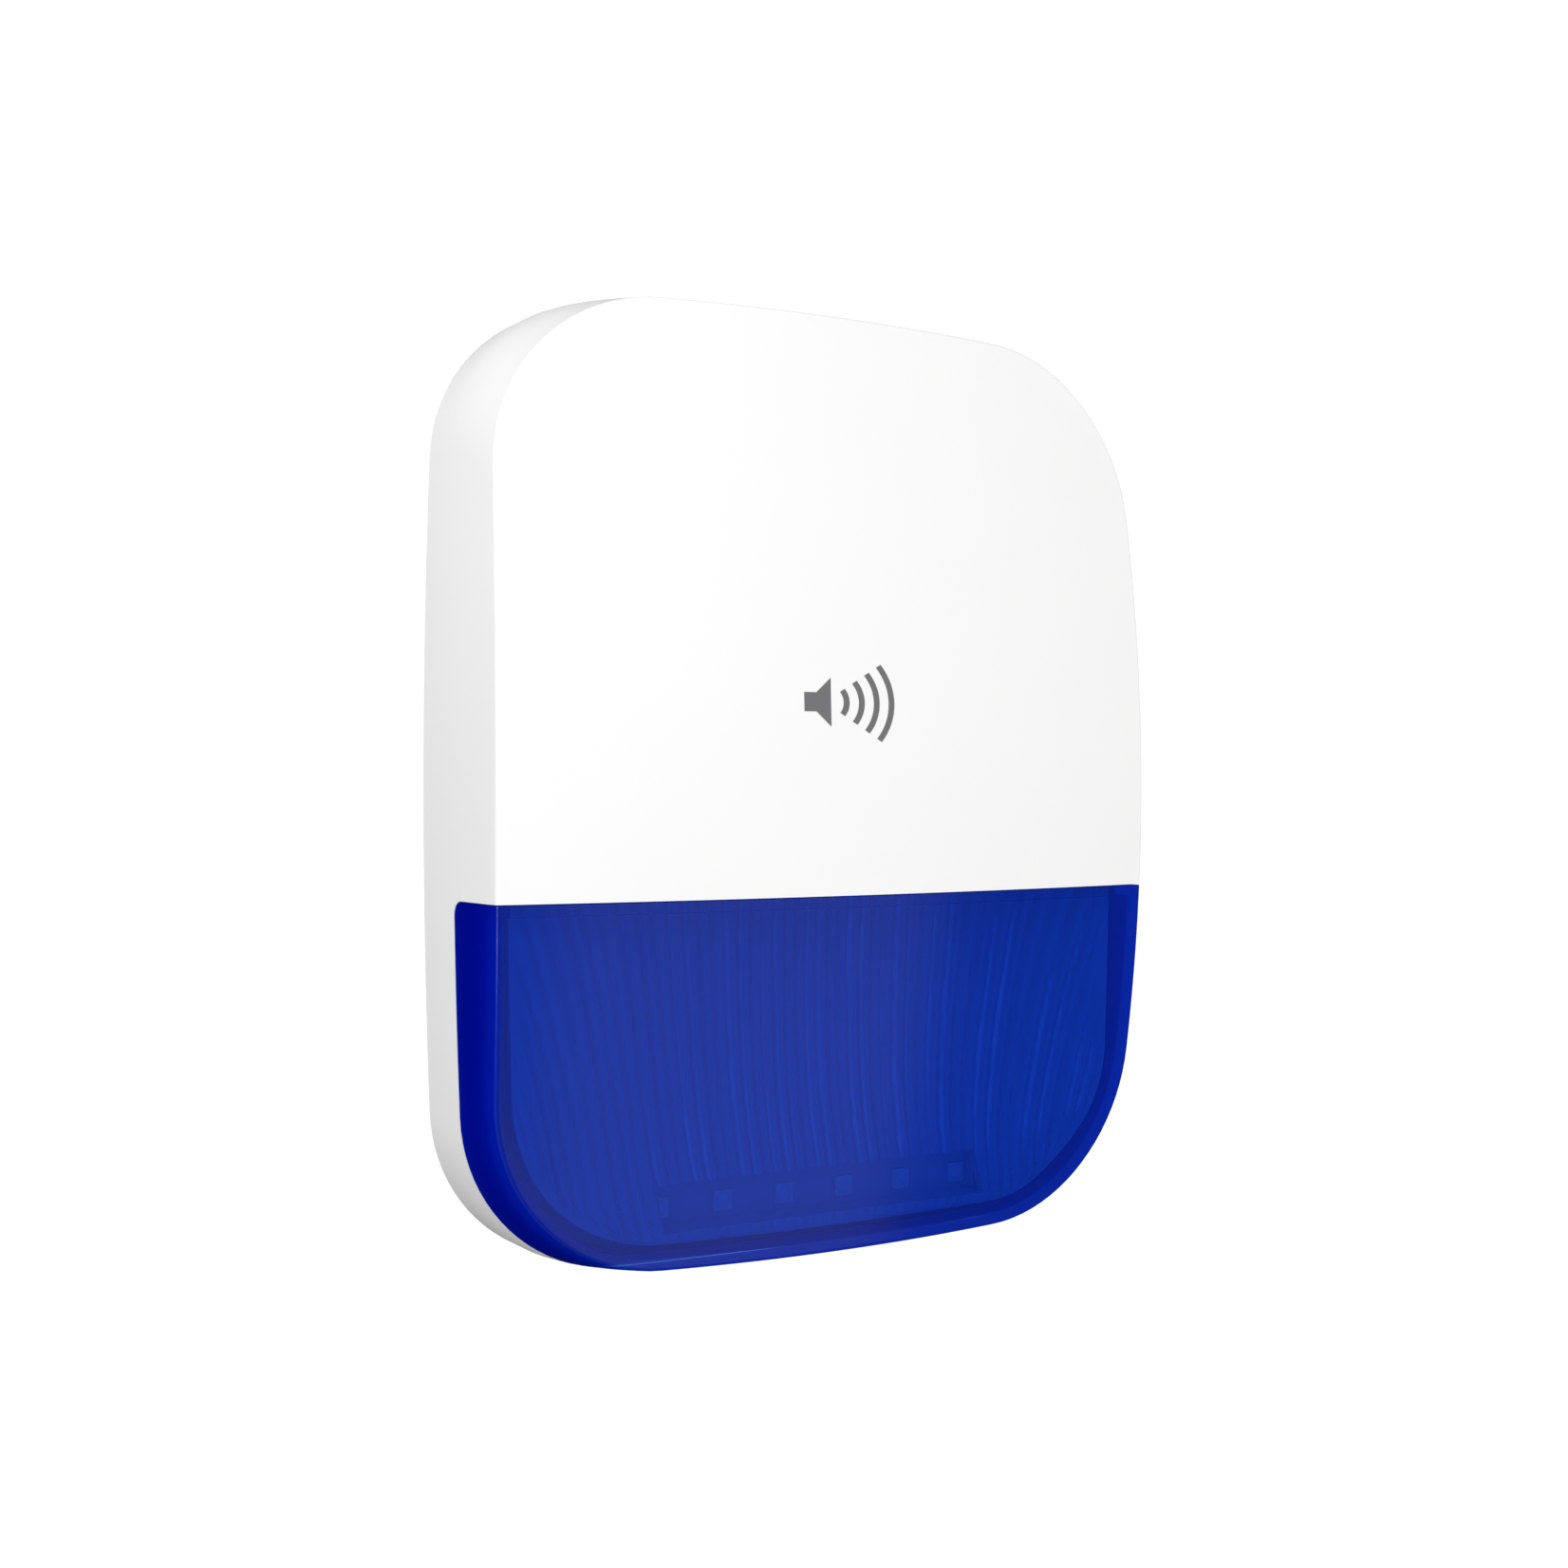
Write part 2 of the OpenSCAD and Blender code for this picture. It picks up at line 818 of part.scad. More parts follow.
module tamper_spring() {
    rings = 64;
    sides = 8;
    points = [
        for (i = [0 : rings]) let (
            c = spring_point(i / rings),
            turn = 360 * spring_turns * i / rings,
            out = [cos(turn), sin(turn), 0]
        ) for (k = [0 : sides - 1])
            c + spring_wire / 2 * (cos(360 * k / sides) * out + sin(360 * k / sides) * [0, 0, 1])
    ];
    faces = concat(
        [[for (k = [0 : sides - 1]) k]],
        [for (i = [0 : rings - 1], k = [0 : sides - 1]) [
            i * sides + k, (i + 1) * sides + k,
            (i + 1) * sides + (k + 1) % sides, i * sides + (k + 1) % sides
        ]],
        [[for (k = [sides - 1 : -1 : 0]) rings * sides + k]]
    );
    color("silver") translate([tamper_c.x, -spring_rear, tamper_c.y]) rotate([90, 0, 0]) {
        polyhedron(points, faces, convexity = 6);
    }
}

module tamper_switch() {
    color("black") box_at(tamper_c, 6, 6, [14.4, board_rear]);
}

module power_switch_body() {
    color("black") box_at(switch_c - [switch_travel / 2, 0], 14, 7, [14, board_rear]);
}

module power_switch_knob() {
    color("white") box_at(switch_c, knob_w, 4, [7.6, 13.7]);
}

module pairing_button() {
    color("silver") {
        post(button_c, button_d, 7.8, back_front);
        post(button_c, button_d + 2.6, back_front + 0.1, back_front + 1.1);
        post(button_c, button_d, back_front - eps, 13);
    }
}

module button_switch() {
    color("black") box_at(button_c, 6, 6, [14.1, board_rear]);
}

module locking_screw() {
    color("gainsboro") translate([0, -lock_d, lock_head_z]) {
        difference() {
            cylinder(d = lock_head_d, h = lock_head_h, $fn = round_fn);
            cross_slot(lock_head_d);
        }
        cylinder(d = lock_screw_d, h = tab_z1 + collar_h + 0.8 - lock_head_z, $fn = round_fn);
    }
}

module lock_collar() {
    z0 = tab_z1 + 0.3;
    color("silver") difference() {
        upright(z0, z0 + collar_h, collar_d);
        upright(z0 - 1, z0 + collar_h + 1, lock_screw_d);
    }
}

module lock_seal() {
    z0 = lock_head_z + lock_head_h;
    color("black") difference() {
        upright(z0, z0 + seal_t, seal_d);
        upright(z0 - 1, z0 + seal_t + 1, lock_screw_d);
    }
}

module wall_bracket() {
    color("whitesmoke") difference() {
        union() {
            intersection() {
                slab(plate_inset, 0, plate_t);
                block([-far, far], [0, far], [-far, plate_top]);
            }
            plate_lip();
            plate_ribs();
            ears();
            fork_tab();
        }
        for (sx = [-1, 1]) {
            block(
                [sx * hook_x - hook_w / 2 - ear_gap, sx * hook_x + hook_w / 2 + ear_gap],
                [-1, plate_t + eps], [hinge_z - 6, far]
            );
        }
        for (sx = [-1, 1], sz = [-1, 1]) {
            post([sx * screw_dx / 2, sz * screw_dz / 2], screw_hole_d, -1, far);
        }
        post([0, 0], 20, -1, far);
        fork_top = plate_inset - body_h / 2 + lip_w + 4;
        block([-fork_w / 2, fork_w / 2], [lock_d - fork_w / 2, far], [-far, fork_top]);
        break_ring();
    }
}

// Raised lip round the plate's edge
module plate_lip() {
    intersection() {
        difference() {
            slab(plate_inset, 0, lip_d);
            slab(plate_inset + lip_w, -1, lip_d + 1);
        }
        block([-far, far], [0, far], [-far, plate_top - 4]);
    }
}

module plate_ribs() {
    for (sx = [-1, 1]) block([sx * 30 - 1, sx * 30 + 1], [0, rib_d], [-100, 100]);
    for (sz = [-1, 1]) block([-84, 84], [0, rib_d], [sz * 30 - 1, sz * 30 + 1]);
}

// Slot that leaves a disc on three thin bridges, which tears free if the plate is pulled off the wall
module break_ring() {
    difference() {
        post(break_c, break_d, -1, far);
        post(break_c, break_d - 3, -1, far);
        for (turn = [90, 210, 330]) {
            translate([break_c.x, 0, break_c.y]) rotate([0, turn, 0]) translate([0, -far / 2, -0.8]) {
                cube([break_d, far, 1.6]);
            }
        }
    }
    post(break_c, 4, -1, far);
}

// Ears and pins that the hooks hang on
module ears() {
    for (sx = [-1, 1]) {
        inner = hook_w / 2 + ear_gap;
        x = sx * hook_x;
        for (side = [-1, 1]) {
            x0 = side < 0 ? x - inner - ear_t : x + inner;
            cross_bar(x0, x0 + ear_t, hinge_d, hinge_z, 2 * ear_r);
            block([x0, x0 + ear_t], [0, hinge_d], [hinge_z - ear_r, hinge_z + 1.2]);
        }
        cross_bar(x - inner - eps, x + inner + eps, hinge_d, hinge_z, pin_d);
    }
}

// Open fork under which the lock screw holds the unit
module fork_tab() {
    block([-tab_w / 2, tab_w / 2], [0, tab_reach], [tab_z0, tab_z1]);
}

wall_bracket();
front_cover();
blue_lens();
lens_gasket();
reflector_tray();
reflector_screws();
led_board();
led_emitters();
led_flat_lead();
back_cover();
back_cover_gasket();
back_cover_screws();
main_board();
board_screws();
processor();
radio_module();
antenna();
capacitors();
terminal_block();
ribbon_socket();
cable_grommet();
siren_housing();
piezo_disc();
siren_cap();
siren_screws();
siren_leads();
horn_duct();
sound_mesh();
battery_holder();
batteries();
battery_contacts();
battery_leads();
battery_cover();
tamper_plunger();
tamper_clip();
tamper_spring();
tamper_switch();
power_switch_body();
power_switch_knob();
pairing_button();
button_switch();
locking_screw();
lock_collar();
lock_seal();
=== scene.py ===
"""Wall alarm siren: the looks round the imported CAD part.

Lengths are millimetres until world() or MM turns them into the frame's metres.
A depth is a distance from the wall.
"""
import json
import math

import bmesh
import bpy
from mathutils import Matrix, Vector

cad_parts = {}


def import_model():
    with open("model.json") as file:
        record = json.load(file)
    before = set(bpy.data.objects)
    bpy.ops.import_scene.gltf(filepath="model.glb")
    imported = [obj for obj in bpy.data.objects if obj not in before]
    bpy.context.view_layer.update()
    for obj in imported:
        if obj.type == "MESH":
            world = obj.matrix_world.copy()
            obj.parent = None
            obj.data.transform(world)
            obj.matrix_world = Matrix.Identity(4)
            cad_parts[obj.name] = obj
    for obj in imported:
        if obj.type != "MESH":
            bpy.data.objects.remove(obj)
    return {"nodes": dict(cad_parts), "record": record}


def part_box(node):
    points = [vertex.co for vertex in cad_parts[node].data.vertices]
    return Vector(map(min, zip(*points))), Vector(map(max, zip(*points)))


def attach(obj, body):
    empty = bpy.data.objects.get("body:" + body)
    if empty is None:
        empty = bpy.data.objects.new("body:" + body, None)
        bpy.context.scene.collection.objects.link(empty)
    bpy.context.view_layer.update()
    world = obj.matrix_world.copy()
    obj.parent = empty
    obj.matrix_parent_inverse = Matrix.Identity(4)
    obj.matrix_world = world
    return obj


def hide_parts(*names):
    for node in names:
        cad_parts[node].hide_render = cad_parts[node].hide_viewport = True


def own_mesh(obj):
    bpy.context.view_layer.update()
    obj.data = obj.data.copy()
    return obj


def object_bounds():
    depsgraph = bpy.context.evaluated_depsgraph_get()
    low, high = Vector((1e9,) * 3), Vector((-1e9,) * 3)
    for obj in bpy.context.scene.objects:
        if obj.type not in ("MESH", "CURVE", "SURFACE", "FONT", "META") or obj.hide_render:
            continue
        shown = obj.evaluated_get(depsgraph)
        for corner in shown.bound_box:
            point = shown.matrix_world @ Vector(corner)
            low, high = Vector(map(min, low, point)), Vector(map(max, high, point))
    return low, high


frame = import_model()
cad_lo, cad_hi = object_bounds()

BODY_OF = {n: b for b, members in frame["record"]["behaviour"]["bodies"].items() for n in members}
SLOT_OF = {s["node"]: s["material_slot"] for s in frame["record"]["subparts"]}

# ---------------------------------------------------------------- sizes, in millimetres
MM = 0.001
cover_lo, cover_hi = (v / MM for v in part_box("front_cover"))
HEIGHT = 240.0
WIDTH = cover_hi.x - cover_lo.x
DEPTH = -cad_lo.y / MM
DOME_R = 560.0
CORNER_R = 41.0
SIDE_R = 2000.0
TOP_R = 1900.0
WALL = 2.5
REAR_D = 1.0
SEAM_Z = -27.6
LENS_D = 20.0
SEAM_GAP = 0.3
LENS_CORNER = 3.5
RIM_R = 1.3
INNER_RIM_R = 0.8
BEYOND_FRONT = 70.0
DRAFT_FROM = 12.0
DRAFT_X = 1.5
DRAFT_Z = 2.1
FRONT_CORNER_R = 46.0
SLOT_COUNT = 9
SLOT_PITCH = 8.4
SLOT_W = 3.0
SLOT_D = (13.0, 16.4)


# ---------------------------------------------------------------- the cover's outline
def rounded_outline(width, height, corner_r, inset, per_side=10, per_corner=20, per_top=8):
    """Points (x, z) of four long arcs and four corners, taken in by inset, anticlockwise from +X."""
    side_cx = width / 2 - SIDE_R
    top_cz = height / 2 - TOP_R
    from_side, from_top = SIDE_R - corner_r, TOP_R - corner_r
    gap = math.hypot(side_cx, top_cz)
    along = (from_side**2 - from_top**2 + gap**2) / (2 * gap)
    across = math.sqrt(from_side**2 - along**2)
    dx, dz = -side_cx / gap, top_cz / gap
    corner = (side_cx + along * dx - across * dz, along * dz + across * dx)
    side_turn = math.atan2(corner[1], corner[0] - side_cx)
    top_turn = math.pi / 2 - math.atan2(corner[0], corner[1] - top_cz)
    quarter = []
    for centre, r, a0, a1, n in (
        ((side_cx, 0), SIDE_R - inset, 0, side_turn, per_side),
        (corner, corner_r - inset, side_turn, top_turn, per_corner),
        ((0, top_cz), TOP_R - inset, top_turn, math.pi / 2, per_top),
    ):
        first = 0 if not quarter else 1
        for i in range(first, n + 1):
            a = a0 + (a1 - a0) * i / n
            quarter.append((centre[0] + r * math.cos(a), centre[1] + r * math.sin(a)))
    left = [(-x, z) for x, z in reversed(quarter[:-1])]
    upper = quarter + left
    lower = [(x, -z) for x, z in reversed(upper[1:-1])]
    return upper + lower


def outline(inset):
    """The cover's outline at the wall."""
    return rounded_outline(WIDTH, HEIGHT, CORNER_R, inset)


def front_outline(inset):
    """The slightly smaller and rounder outline of the cover's front edge."""
    return rounded_outline(WIDTH - 2 * DRAFT_X, HEIGHT - 2 * DRAFT_Z, FRONT_CORNER_R, inset)


def dome_depth(x, z, inset=0.0):
    """Distance from the wall of the domed front, or of the surface inset behind it."""
    return DEPTH - DOME_R + math.sqrt((DOME_R - inset) ** 2 - x * x - z * z)


def world(x, depth, z):
    """A point of the part in the frame's metres."""
    return Vector((x * MM, -depth * MM, z * MM))


# ---------------------------------------------------------------- mesh helpers
def new_piece(name, bm, node=None, body=None, material=None, smooth=math.radians(35)):
    """Turns bm into a piece that rides on its body, and stands for node if one is given."""
    bmesh.ops.recalc_face_normals(bm, faces=bm.faces)
    mesh = bpy.data.meshes.new(name)
    bm.to_mesh(mesh)
    bm.free()
    obj = bpy.data.objects.new(name, mesh)
    bpy.context.scene.collection.objects.link(obj)
    finish_piece(obj, node, body, material, smooth)
    return obj


def finish_piece(obj, node=None, body=None, material=None, smooth=math.radians(35)):
    """Shades a piece, and sets its body, the node it stands for and its material."""
    obj.data.shade_smooth()
    obj.data.set_sharp_from_angle(angle=smooth)
    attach(obj, body or BODY_OF[node])
    if node:
        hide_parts(node)
    if material:
        obj.data.materials.clear()
        obj.data.materials.append(material)


def rings_mesh(rings):
    """Joins closed rings of equally many points into a skin, capped at its ends by one face."""
    bm = bmesh.new()
    rows = [[bm.verts.new(p) for p in ring] for ring in rings]
    n = len(rows[0])
    for a, b in zip(rows, rows[1:]):
        for i in range(n):
            bm.faces.new((a[i], a[(i + 1) % n], b[(i + 1) % n], b[i]))
    bm.faces.new(list(reversed(rows[0])))
    bm.faces.new(rows[-1])
    return bm


def skin_rings(inset, near, rim, steps=6, dome_rows=26, wall_rows=6):
    """Rings of the cover's form at an inset: up the drafted wall, round the rim and in over the dome."""
    rings = []
    base, edge, inner = outline(inset), front_outline(inset), front_outline(inset + rim)
    tops = [dome_depth(x, z, inset) for x, z in inner]
    for i in range(wall_rows):
        ring = []
        for (x0, z0), (x1, z1), top in zip(base, edge, tops):
            depth = near + (top - rim - near) * i / wall_rows
            k = max(0.0, (depth - DRAFT_FROM) / (top - rim - DRAFT_FROM)) ** 1.5
            ring.append(world(x0 + (x1 - x0) * k, depth, z0 + (z1 - z0) * k))
        rings.append(ring)
    for i in range(steps + 1):
        a = math.pi / 2 * i / steps
        ring = []
        for (x, z), (xi, zi), top in zip(edge, inner, tops):
            k = 1 - math.cos(a)
            ring.append(world(x + (xi - x) * k, top - rim * (1 - math.sin(a)), z + (zi - z) * k))
        rings.append(ring)
    for i in range(1, dome_rows):
        k = 1 - i / dome_rows
        rings.append([world(x * k, dome_depth(x * k, z * k, inset), z * k) for x, z in inner])
    return rings


def shell_mesh(inset, thickness, near, rim):
    """Closed skin of the cover's wall between two insets."""
    outer = skin_rings(inset, near, rim)
    inner = skin_rings(inset + thickness, near, max(rim - thickness * 0.5, 0.4))
    return rings_mesh(list(reversed(inner)) + outer)


def prism(points, x0, x1):
    """Closed prism along X with a profile of (depth, z) points."""
    return rings_mesh([[world(x, d, z) for d, z in points] for x in (x0, x1)])


def box_mesh(bm, x, d, z):
    """Adds a box from its ranges in x, distance from the wall and z."""
    centre = world(sum(x) / 2, sum(d) / 2, sum(z) / 2)
    size = Vector((x[1] - x[0], d[1] - d[0], z[1] - z[0])) * MM
    bmesh.ops.create_cube(bm, size=1, matrix=Matrix.Translation(centre) @ Matrix.Diagonal(size.to_4d()))


def bar_mesh(bm, centre, r, length, sides, turn=Matrix.Identity(4)):
    """Adds a round bar along Z, or along where turn takes Z."""
    bmesh.ops.create_cone(
        bm, cap_ends=True, segments=sides, radius1=r * MM, radius2=r * MM, depth=length * MM,
        matrix=Matrix.Translation(centre) @ turn,
    )


def cutter(bm):
    """A plain object made of bm, to cut or to be cut."""
    bmesh.ops.recalc_face_normals(bm, faces=bm.faces)
    mesh = bpy.data.meshes.new("cutter")
    bm.to_mesh(mesh)
    bm.free()
    obj = bpy.data.objects.new("cutter", mesh)
    bpy.context.scene.collection.objects.link(obj)
    return obj


def cut(obj, *tools, operation="DIFFERENCE", overlapping=False):
    """Applies a boolean with each tool in turn and removes the tools.

    The parts of one tool may meet or cross each other if overlapping.
    """
    for tool in tools:
        modifier = obj.modifiers.new("cut", "BOOLEAN")
        modifier.operation = operation
        modifier.solver = "EXACT"
        modifier.use_self = overlapping
        modifier.object = tool
        apply_modifiers(obj)
        bpy.data.objects.remove(tool)


def apply_modifiers(obj):
    """Turns what the modifiers make into the object's own mesh."""
    graph = bpy.context.evaluated_depsgraph_get()
    mesh = bpy.data.meshes.new_from_object(obj.evaluated_get(graph))
    obj.modifiers.clear()
    obj.data = mesh


def lens_profile(gap, steps=10):
    """Profile in (depth, z) of the space that the lens takes, grown by gap."""
    rear, top, r = LENS_D - gap, SEAM_Z + gap, LENS_CORNER + gap
    arc = [
        (rear + r - r * math.cos(a), top - r + r * math.sin(a))
        for a in (math.pi / 2 * i / steps for i in range(steps + 1))
    ]
    return [(rear, -HEIGHT), *arc, (BEYOND_FRONT, top), (BEYOND_FRONT, -HEIGHT)]


def refined(node, bevel, angle=30, segments=2):
    """A copy of a CAD node's mesh with its flat faces merged and its hard edges rounded by bevel."""
    bm = bmesh.new()
    bm.from_mesh(frame["nodes"][node].data)
    bmesh.ops.remove_doubles(bm, verts=bm.verts, dist=0.002 * MM)
    bmesh.ops.dissolve_limit(bm, angle_limit=math.radians(0.6), verts=bm.verts, edges=bm.edges)
    obj = new_piece(node + "_detail", bm, node=node)
    if bevel:
        modifier = obj.modifiers.new("edges", "BEVEL")
        modifier.width = bevel * MM
        modifier.segments = segments
        modifier.limit_method = "ANGLE"
        modifier.angle_limit = math.radians(angle)
        modifier.use_clamp_overlap = True
        apply_modifiers(obj)
        obj.data.shade_smooth()
        obj.data.set_sharp_from_angle(angle=math.radians(50))
    keep_flats_flat(obj)
    return obj


def keep_flats_flat(obj):
    """Weights the shading of rounded edges by face area, so that large flat faces stay flat."""
    modifier = obj.modifiers.new("shading", "WEIGHTED_NORMAL")
    modifier.keep_sharp = True
    modifier.weight = 100
    apply_modifiers(obj)


# ---------------------------------------------------------------- materials
def node_material(name):
    """A new material with its nodes, its links and its main shader."""
    material = bpy.data.materials.new(name)
    material.use_nodes = True
    nodes, links = material.node_tree.nodes, material.node_tree.links
    return material, nodes, links, nodes["Principled BSDF"]


def socket_values(node, **values):
    """Sets a node's inputs, each given as its name with _ for a space."""
    for name, value in values.items():
        node.inputs[name.replace("_", " ")].default_value = value


def arithmetic(nodes, links, operation, *inputs):
    """Result of a math node on numbers and sockets."""
    node = nodes.new("ShaderNodeMath")
    node.operation = operation
    for socket, value in zip(node.inputs, inputs):
        if isinstance(value, (int, float)):
            socket.default_value = value
        else:
            links.new(value, socket)
    return node.outputs["Value"]


def mixed(nodes, links, fac, first, second):
    """Colour between two colours or sockets."""
    node = nodes.new("ShaderNodeMix")
    node.data_type = "RGBA"
    links.new(fac, node.inputs[0])
    for socket, value in ((node.inputs[6], first), (node.inputs[7], second)):
        if isinstance(value, tuple):
            socket.default_value = (*value, 1)
        else:
            links.new(value, socket)
    return node.outputs[2]


def noise(nodes, links, scale, detail=4.0):
    """Noise in the object's own space."""
    coord = nodes.new("ShaderNodeTexCoord")
    texture = nodes.new("ShaderNodeTexNoise")
    socket_values(texture, Scale=scale, Detail=detail, Roughness=0.55)
    links.new(coord.outputs["Object"], texture.inputs["Vector"])
    return texture.outputs["Fac"]


def ramp(nodes, links, fac, stops):
    """Colour that goes from one to another between two values of fac."""
    node = nodes.new("ShaderNodeValToRGB")
    for element, (position, colour) in zip(node.color_ramp.elements, stops):
        element.position = position
        element.color = (*colour, 1)
    links.new(fac, node.inputs["Fac"])
    return node.outputs["Color"]


def spread(nodes, links, fac, low, high):
    """Noise spread from low to high."""
    node = nodes.new("ShaderNodeMapRange")
    socket_values(node, From_Min=0.1, From_Max=0.9, To_Min=low, To_Max=high)
    links.new(fac, node.inputs["Value"])
    return node.outputs["Result"]


def bump(nodes, links, shader, height, strength, distance):
    """Fine relief on a shader."""
    node = nodes.new("ShaderNodeBump")
    socket_values(node, Strength=strength, Distance=distance * MM)
    links.new(height, node.inputs["Height"])
    links.new(node.outputs["Normal"], shader.inputs["Normal"])


def moulded(name, colour, vary=0.03, rough=(0.4, 0.5), grain=900, depth=0.02, specular=0.4, metal=0.0):
    """Moulded plastic, rubber or metal: slightly mottled colour and gloss over a fine surface grain."""
    material, nodes, links, shader = node_material(name)
    socket_values(shader, Metallic=metal, Specular_IOR_Level=specular)
    dark = [c * (1 - vary) for c in colour]
    light = [min(1.0, c * (1 + vary)) for c in colour]
    patch = noise(nodes, links, 30)
    links.new(ramp(nodes, links, patch, [(0.1, dark), (0.9, light)]), shader.inputs["Base Color"])
    links.new(spread(nodes, links, patch, *rough), shader.inputs["Roughness"])
    bump(nodes, links, shader, noise(nodes, links, grain, 2.0), 0.25, depth)
    return material


def brushed(name, colour):
    """Metal with fine lines one way."""
    material, nodes, links, shader = node_material(name)
    shader.inputs["Metallic"].default_value = 1.0
    coord = nodes.new("ShaderNodeTexCoord")
    mapping = nodes.new("ShaderNodeMapping")
    mapping.inputs["Scale"].default_value = (1, 1, 30)
    texture = nodes.new("ShaderNodeTexNoise")
    texture.inputs["Scale"].default_value = 260
    links.new(coord.outputs["Object"], mapping.inputs["Vector"])
    links.new(mapping.outputs["Vector"], texture.inputs["Vector"])
    fac = texture.outputs["Fac"]
    dark = [c * 0.88 for c in colour]
    links.new(ramp(nodes, links, fac, [(0.35, dark), (0.65, colour)]), shader.inputs["Base Color"])
    links.new(spread(nodes, links, fac, 0.22, 0.38), shader.inputs["Roughness"])
    bump(nodes, links, shader, fac, 0.2, 0.02)
    return material


# The lens's colours, with a brighter blue painted on its rounded edges as a highlight, and how much of the
# light its front and its side walls scatter.
LENS_TINT = (0.10, 0.33, 1.0, 1)
LENS_GLOW = (0.004, 0.06, 0.9, 1)
LENS_CLOUD = 0.50
LENS_CLOUD_SIDE = 0.92
LENS_FACE = (0.0020, 0.0215, 0.350), (0.0024, 0.0235, 0.370)
LENS_SIDE = (0.0003, 0.0045, 0.410)
LENS_EDGE_HIGHLIGHT = (0.0100, 0.0450, 0.550)
LENS_EDGE_HIGHLIGHT_GAIN = 2.4
LENS_GLOW_SHARE = 0.35


def lens_material():
    """Tinted clear plastic. Light crosses the front wall and is tinted once; the side walls are frosted."""
    material, nodes, links, shader = node_material("lens_blue")
    shader.inputs["Specular IOR Level"].default_value = 0.5
    patch = noise(nodes, links, 60)
    links.new(spread(nodes, links, patch, 0.17, 0.19), shader.inputs["Roughness"])
    bump(nodes, links, shader, noise(nodes, links, 60, 1.0), 0.05, 0.05)
    clear = nodes.new("ShaderNodeBsdfTransparent")
    clear.inputs["Color"].default_value = LENS_TINT
    place = nodes.new("ShaderNodeNewGeometry")
    split = nodes.new("ShaderNodeSeparateXYZ")
    links.new(place.outputs["Normal"], split.inputs["Vector"])
    facing = arithmetic(nodes, links, "ABSOLUTE", split.outputs["Y"])
    side = nodes.new("ShaderNodeMapRange")
    socket_values(side, From_Min=0.9, From_Max=0.5, To_Min=0.0, To_Max=1.0)
    links.new(facing, side.inputs["Value"])
    side = side.outputs["Result"]
    face = ramp(nodes, links, patch, [(0.1, LENS_FACE[0]), (0.9, LENS_FACE[1])])
    body = mixed(nodes, links, side, face, LENS_SIDE)
    # Painted highlight: a brighter blue is mixed into the colour where the surface turns from the front to
    # the side walls. It stands in for light gathering in the rounded edges.
    rest = arithmetic(nodes, links, "SUBTRACT", 1.0, side)
    painted_edge_highlight = arithmetic(nodes, links, "MULTIPLY", side, rest)
    painted_edge_highlight = arithmetic(nodes, links, "MULTIPLY", painted_edge_highlight, LENS_EDGE_HIGHLIGHT_GAIN)
    colour = mixed(nodes, links, painted_edge_highlight, body, LENS_EDGE_HIGHLIGHT)
    links.new(colour, shader.inputs["Base Color"])
    glow = nodes.new("ShaderNodeBsdfTranslucent")
    glow.inputs["Color"].default_value = LENS_GLOW
    dense = nodes.new("ShaderNodeMixShader")
    links.new(arithmetic(nodes, links, "MULTIPLY", side, LENS_GLOW_SHARE), dense.inputs["Fac"])
    links.new(shader.outputs["BSDF"], dense.inputs[1])
    links.new(glow.outputs["BSDF"], dense.inputs[2])
    cloudy = arithmetic(nodes, links, "MULTIPLY_ADD", side, LENS_CLOUD_SIDE - LENS_CLOUD, LENS_CLOUD)
    skin = nodes.new("ShaderNodeMixShader")
    links.new(cloudy, skin.inputs["Fac"])
    links.new(clear.outputs["BSDF"], skin.inputs[1])
    links.new(dense.outputs["Shader"], skin.inputs[2])
    front = arithmetic(nodes, links, "SUBTRACT", 1.0, side)
    leaving = arithmetic(nodes, links, "MULTIPLY", front, place.outputs["Backfacing"])
    way_out = nodes.new("ShaderNodeBsdfTransparent")
    once = nodes.new("ShaderNodeMixShader")
    links.new(leaving, once.inputs["Fac"])
    links.new(skin.outputs["Shader"], once.inputs[1])
    links.new(way_out.outputs["BSDF"], once.inputs[2])
    links.new(once.outputs["Shader"], nodes["Material Output"].inputs["Surface"])
    return material


def board_material():
    """Solder mask over a faint mesh of copper tracks."""
    material, nodes, links, shader = node_material("board_green")
    coord = nodes.new("ShaderNodeTexCoord")
    cells = nodes.new("ShaderNodeTexBrick")
    socket_values(
        cells, Scale=260, Mortar_Size=0.06, Mortar=(0.030, 0.20, 0.080, 1),
        Color1=(0.012, 0.115, 0.045, 1), Color2=(0.010, 0.095, 0.038, 1),
    )
    turn = nodes.new("ShaderNodeMapping")
    turn.inputs["Rotation"].default_value = (math.pi / 2, 0, 0)
    links.new(coord.outputs["Object"], turn.inputs["Vector"])
    links.new(turn.outputs["Vector"], cells.inputs["Vector"])
    links.new(cells.outputs["Color"], shader.inputs["Base Color"])
    links.new(spread(nodes, links, noise(nodes, links, 90), 0.25, 0.4), shader.inputs["Roughness"])
    bump(nodes, links, shader, cells.outputs["Fac"], 0.3, 0.03)
    return material


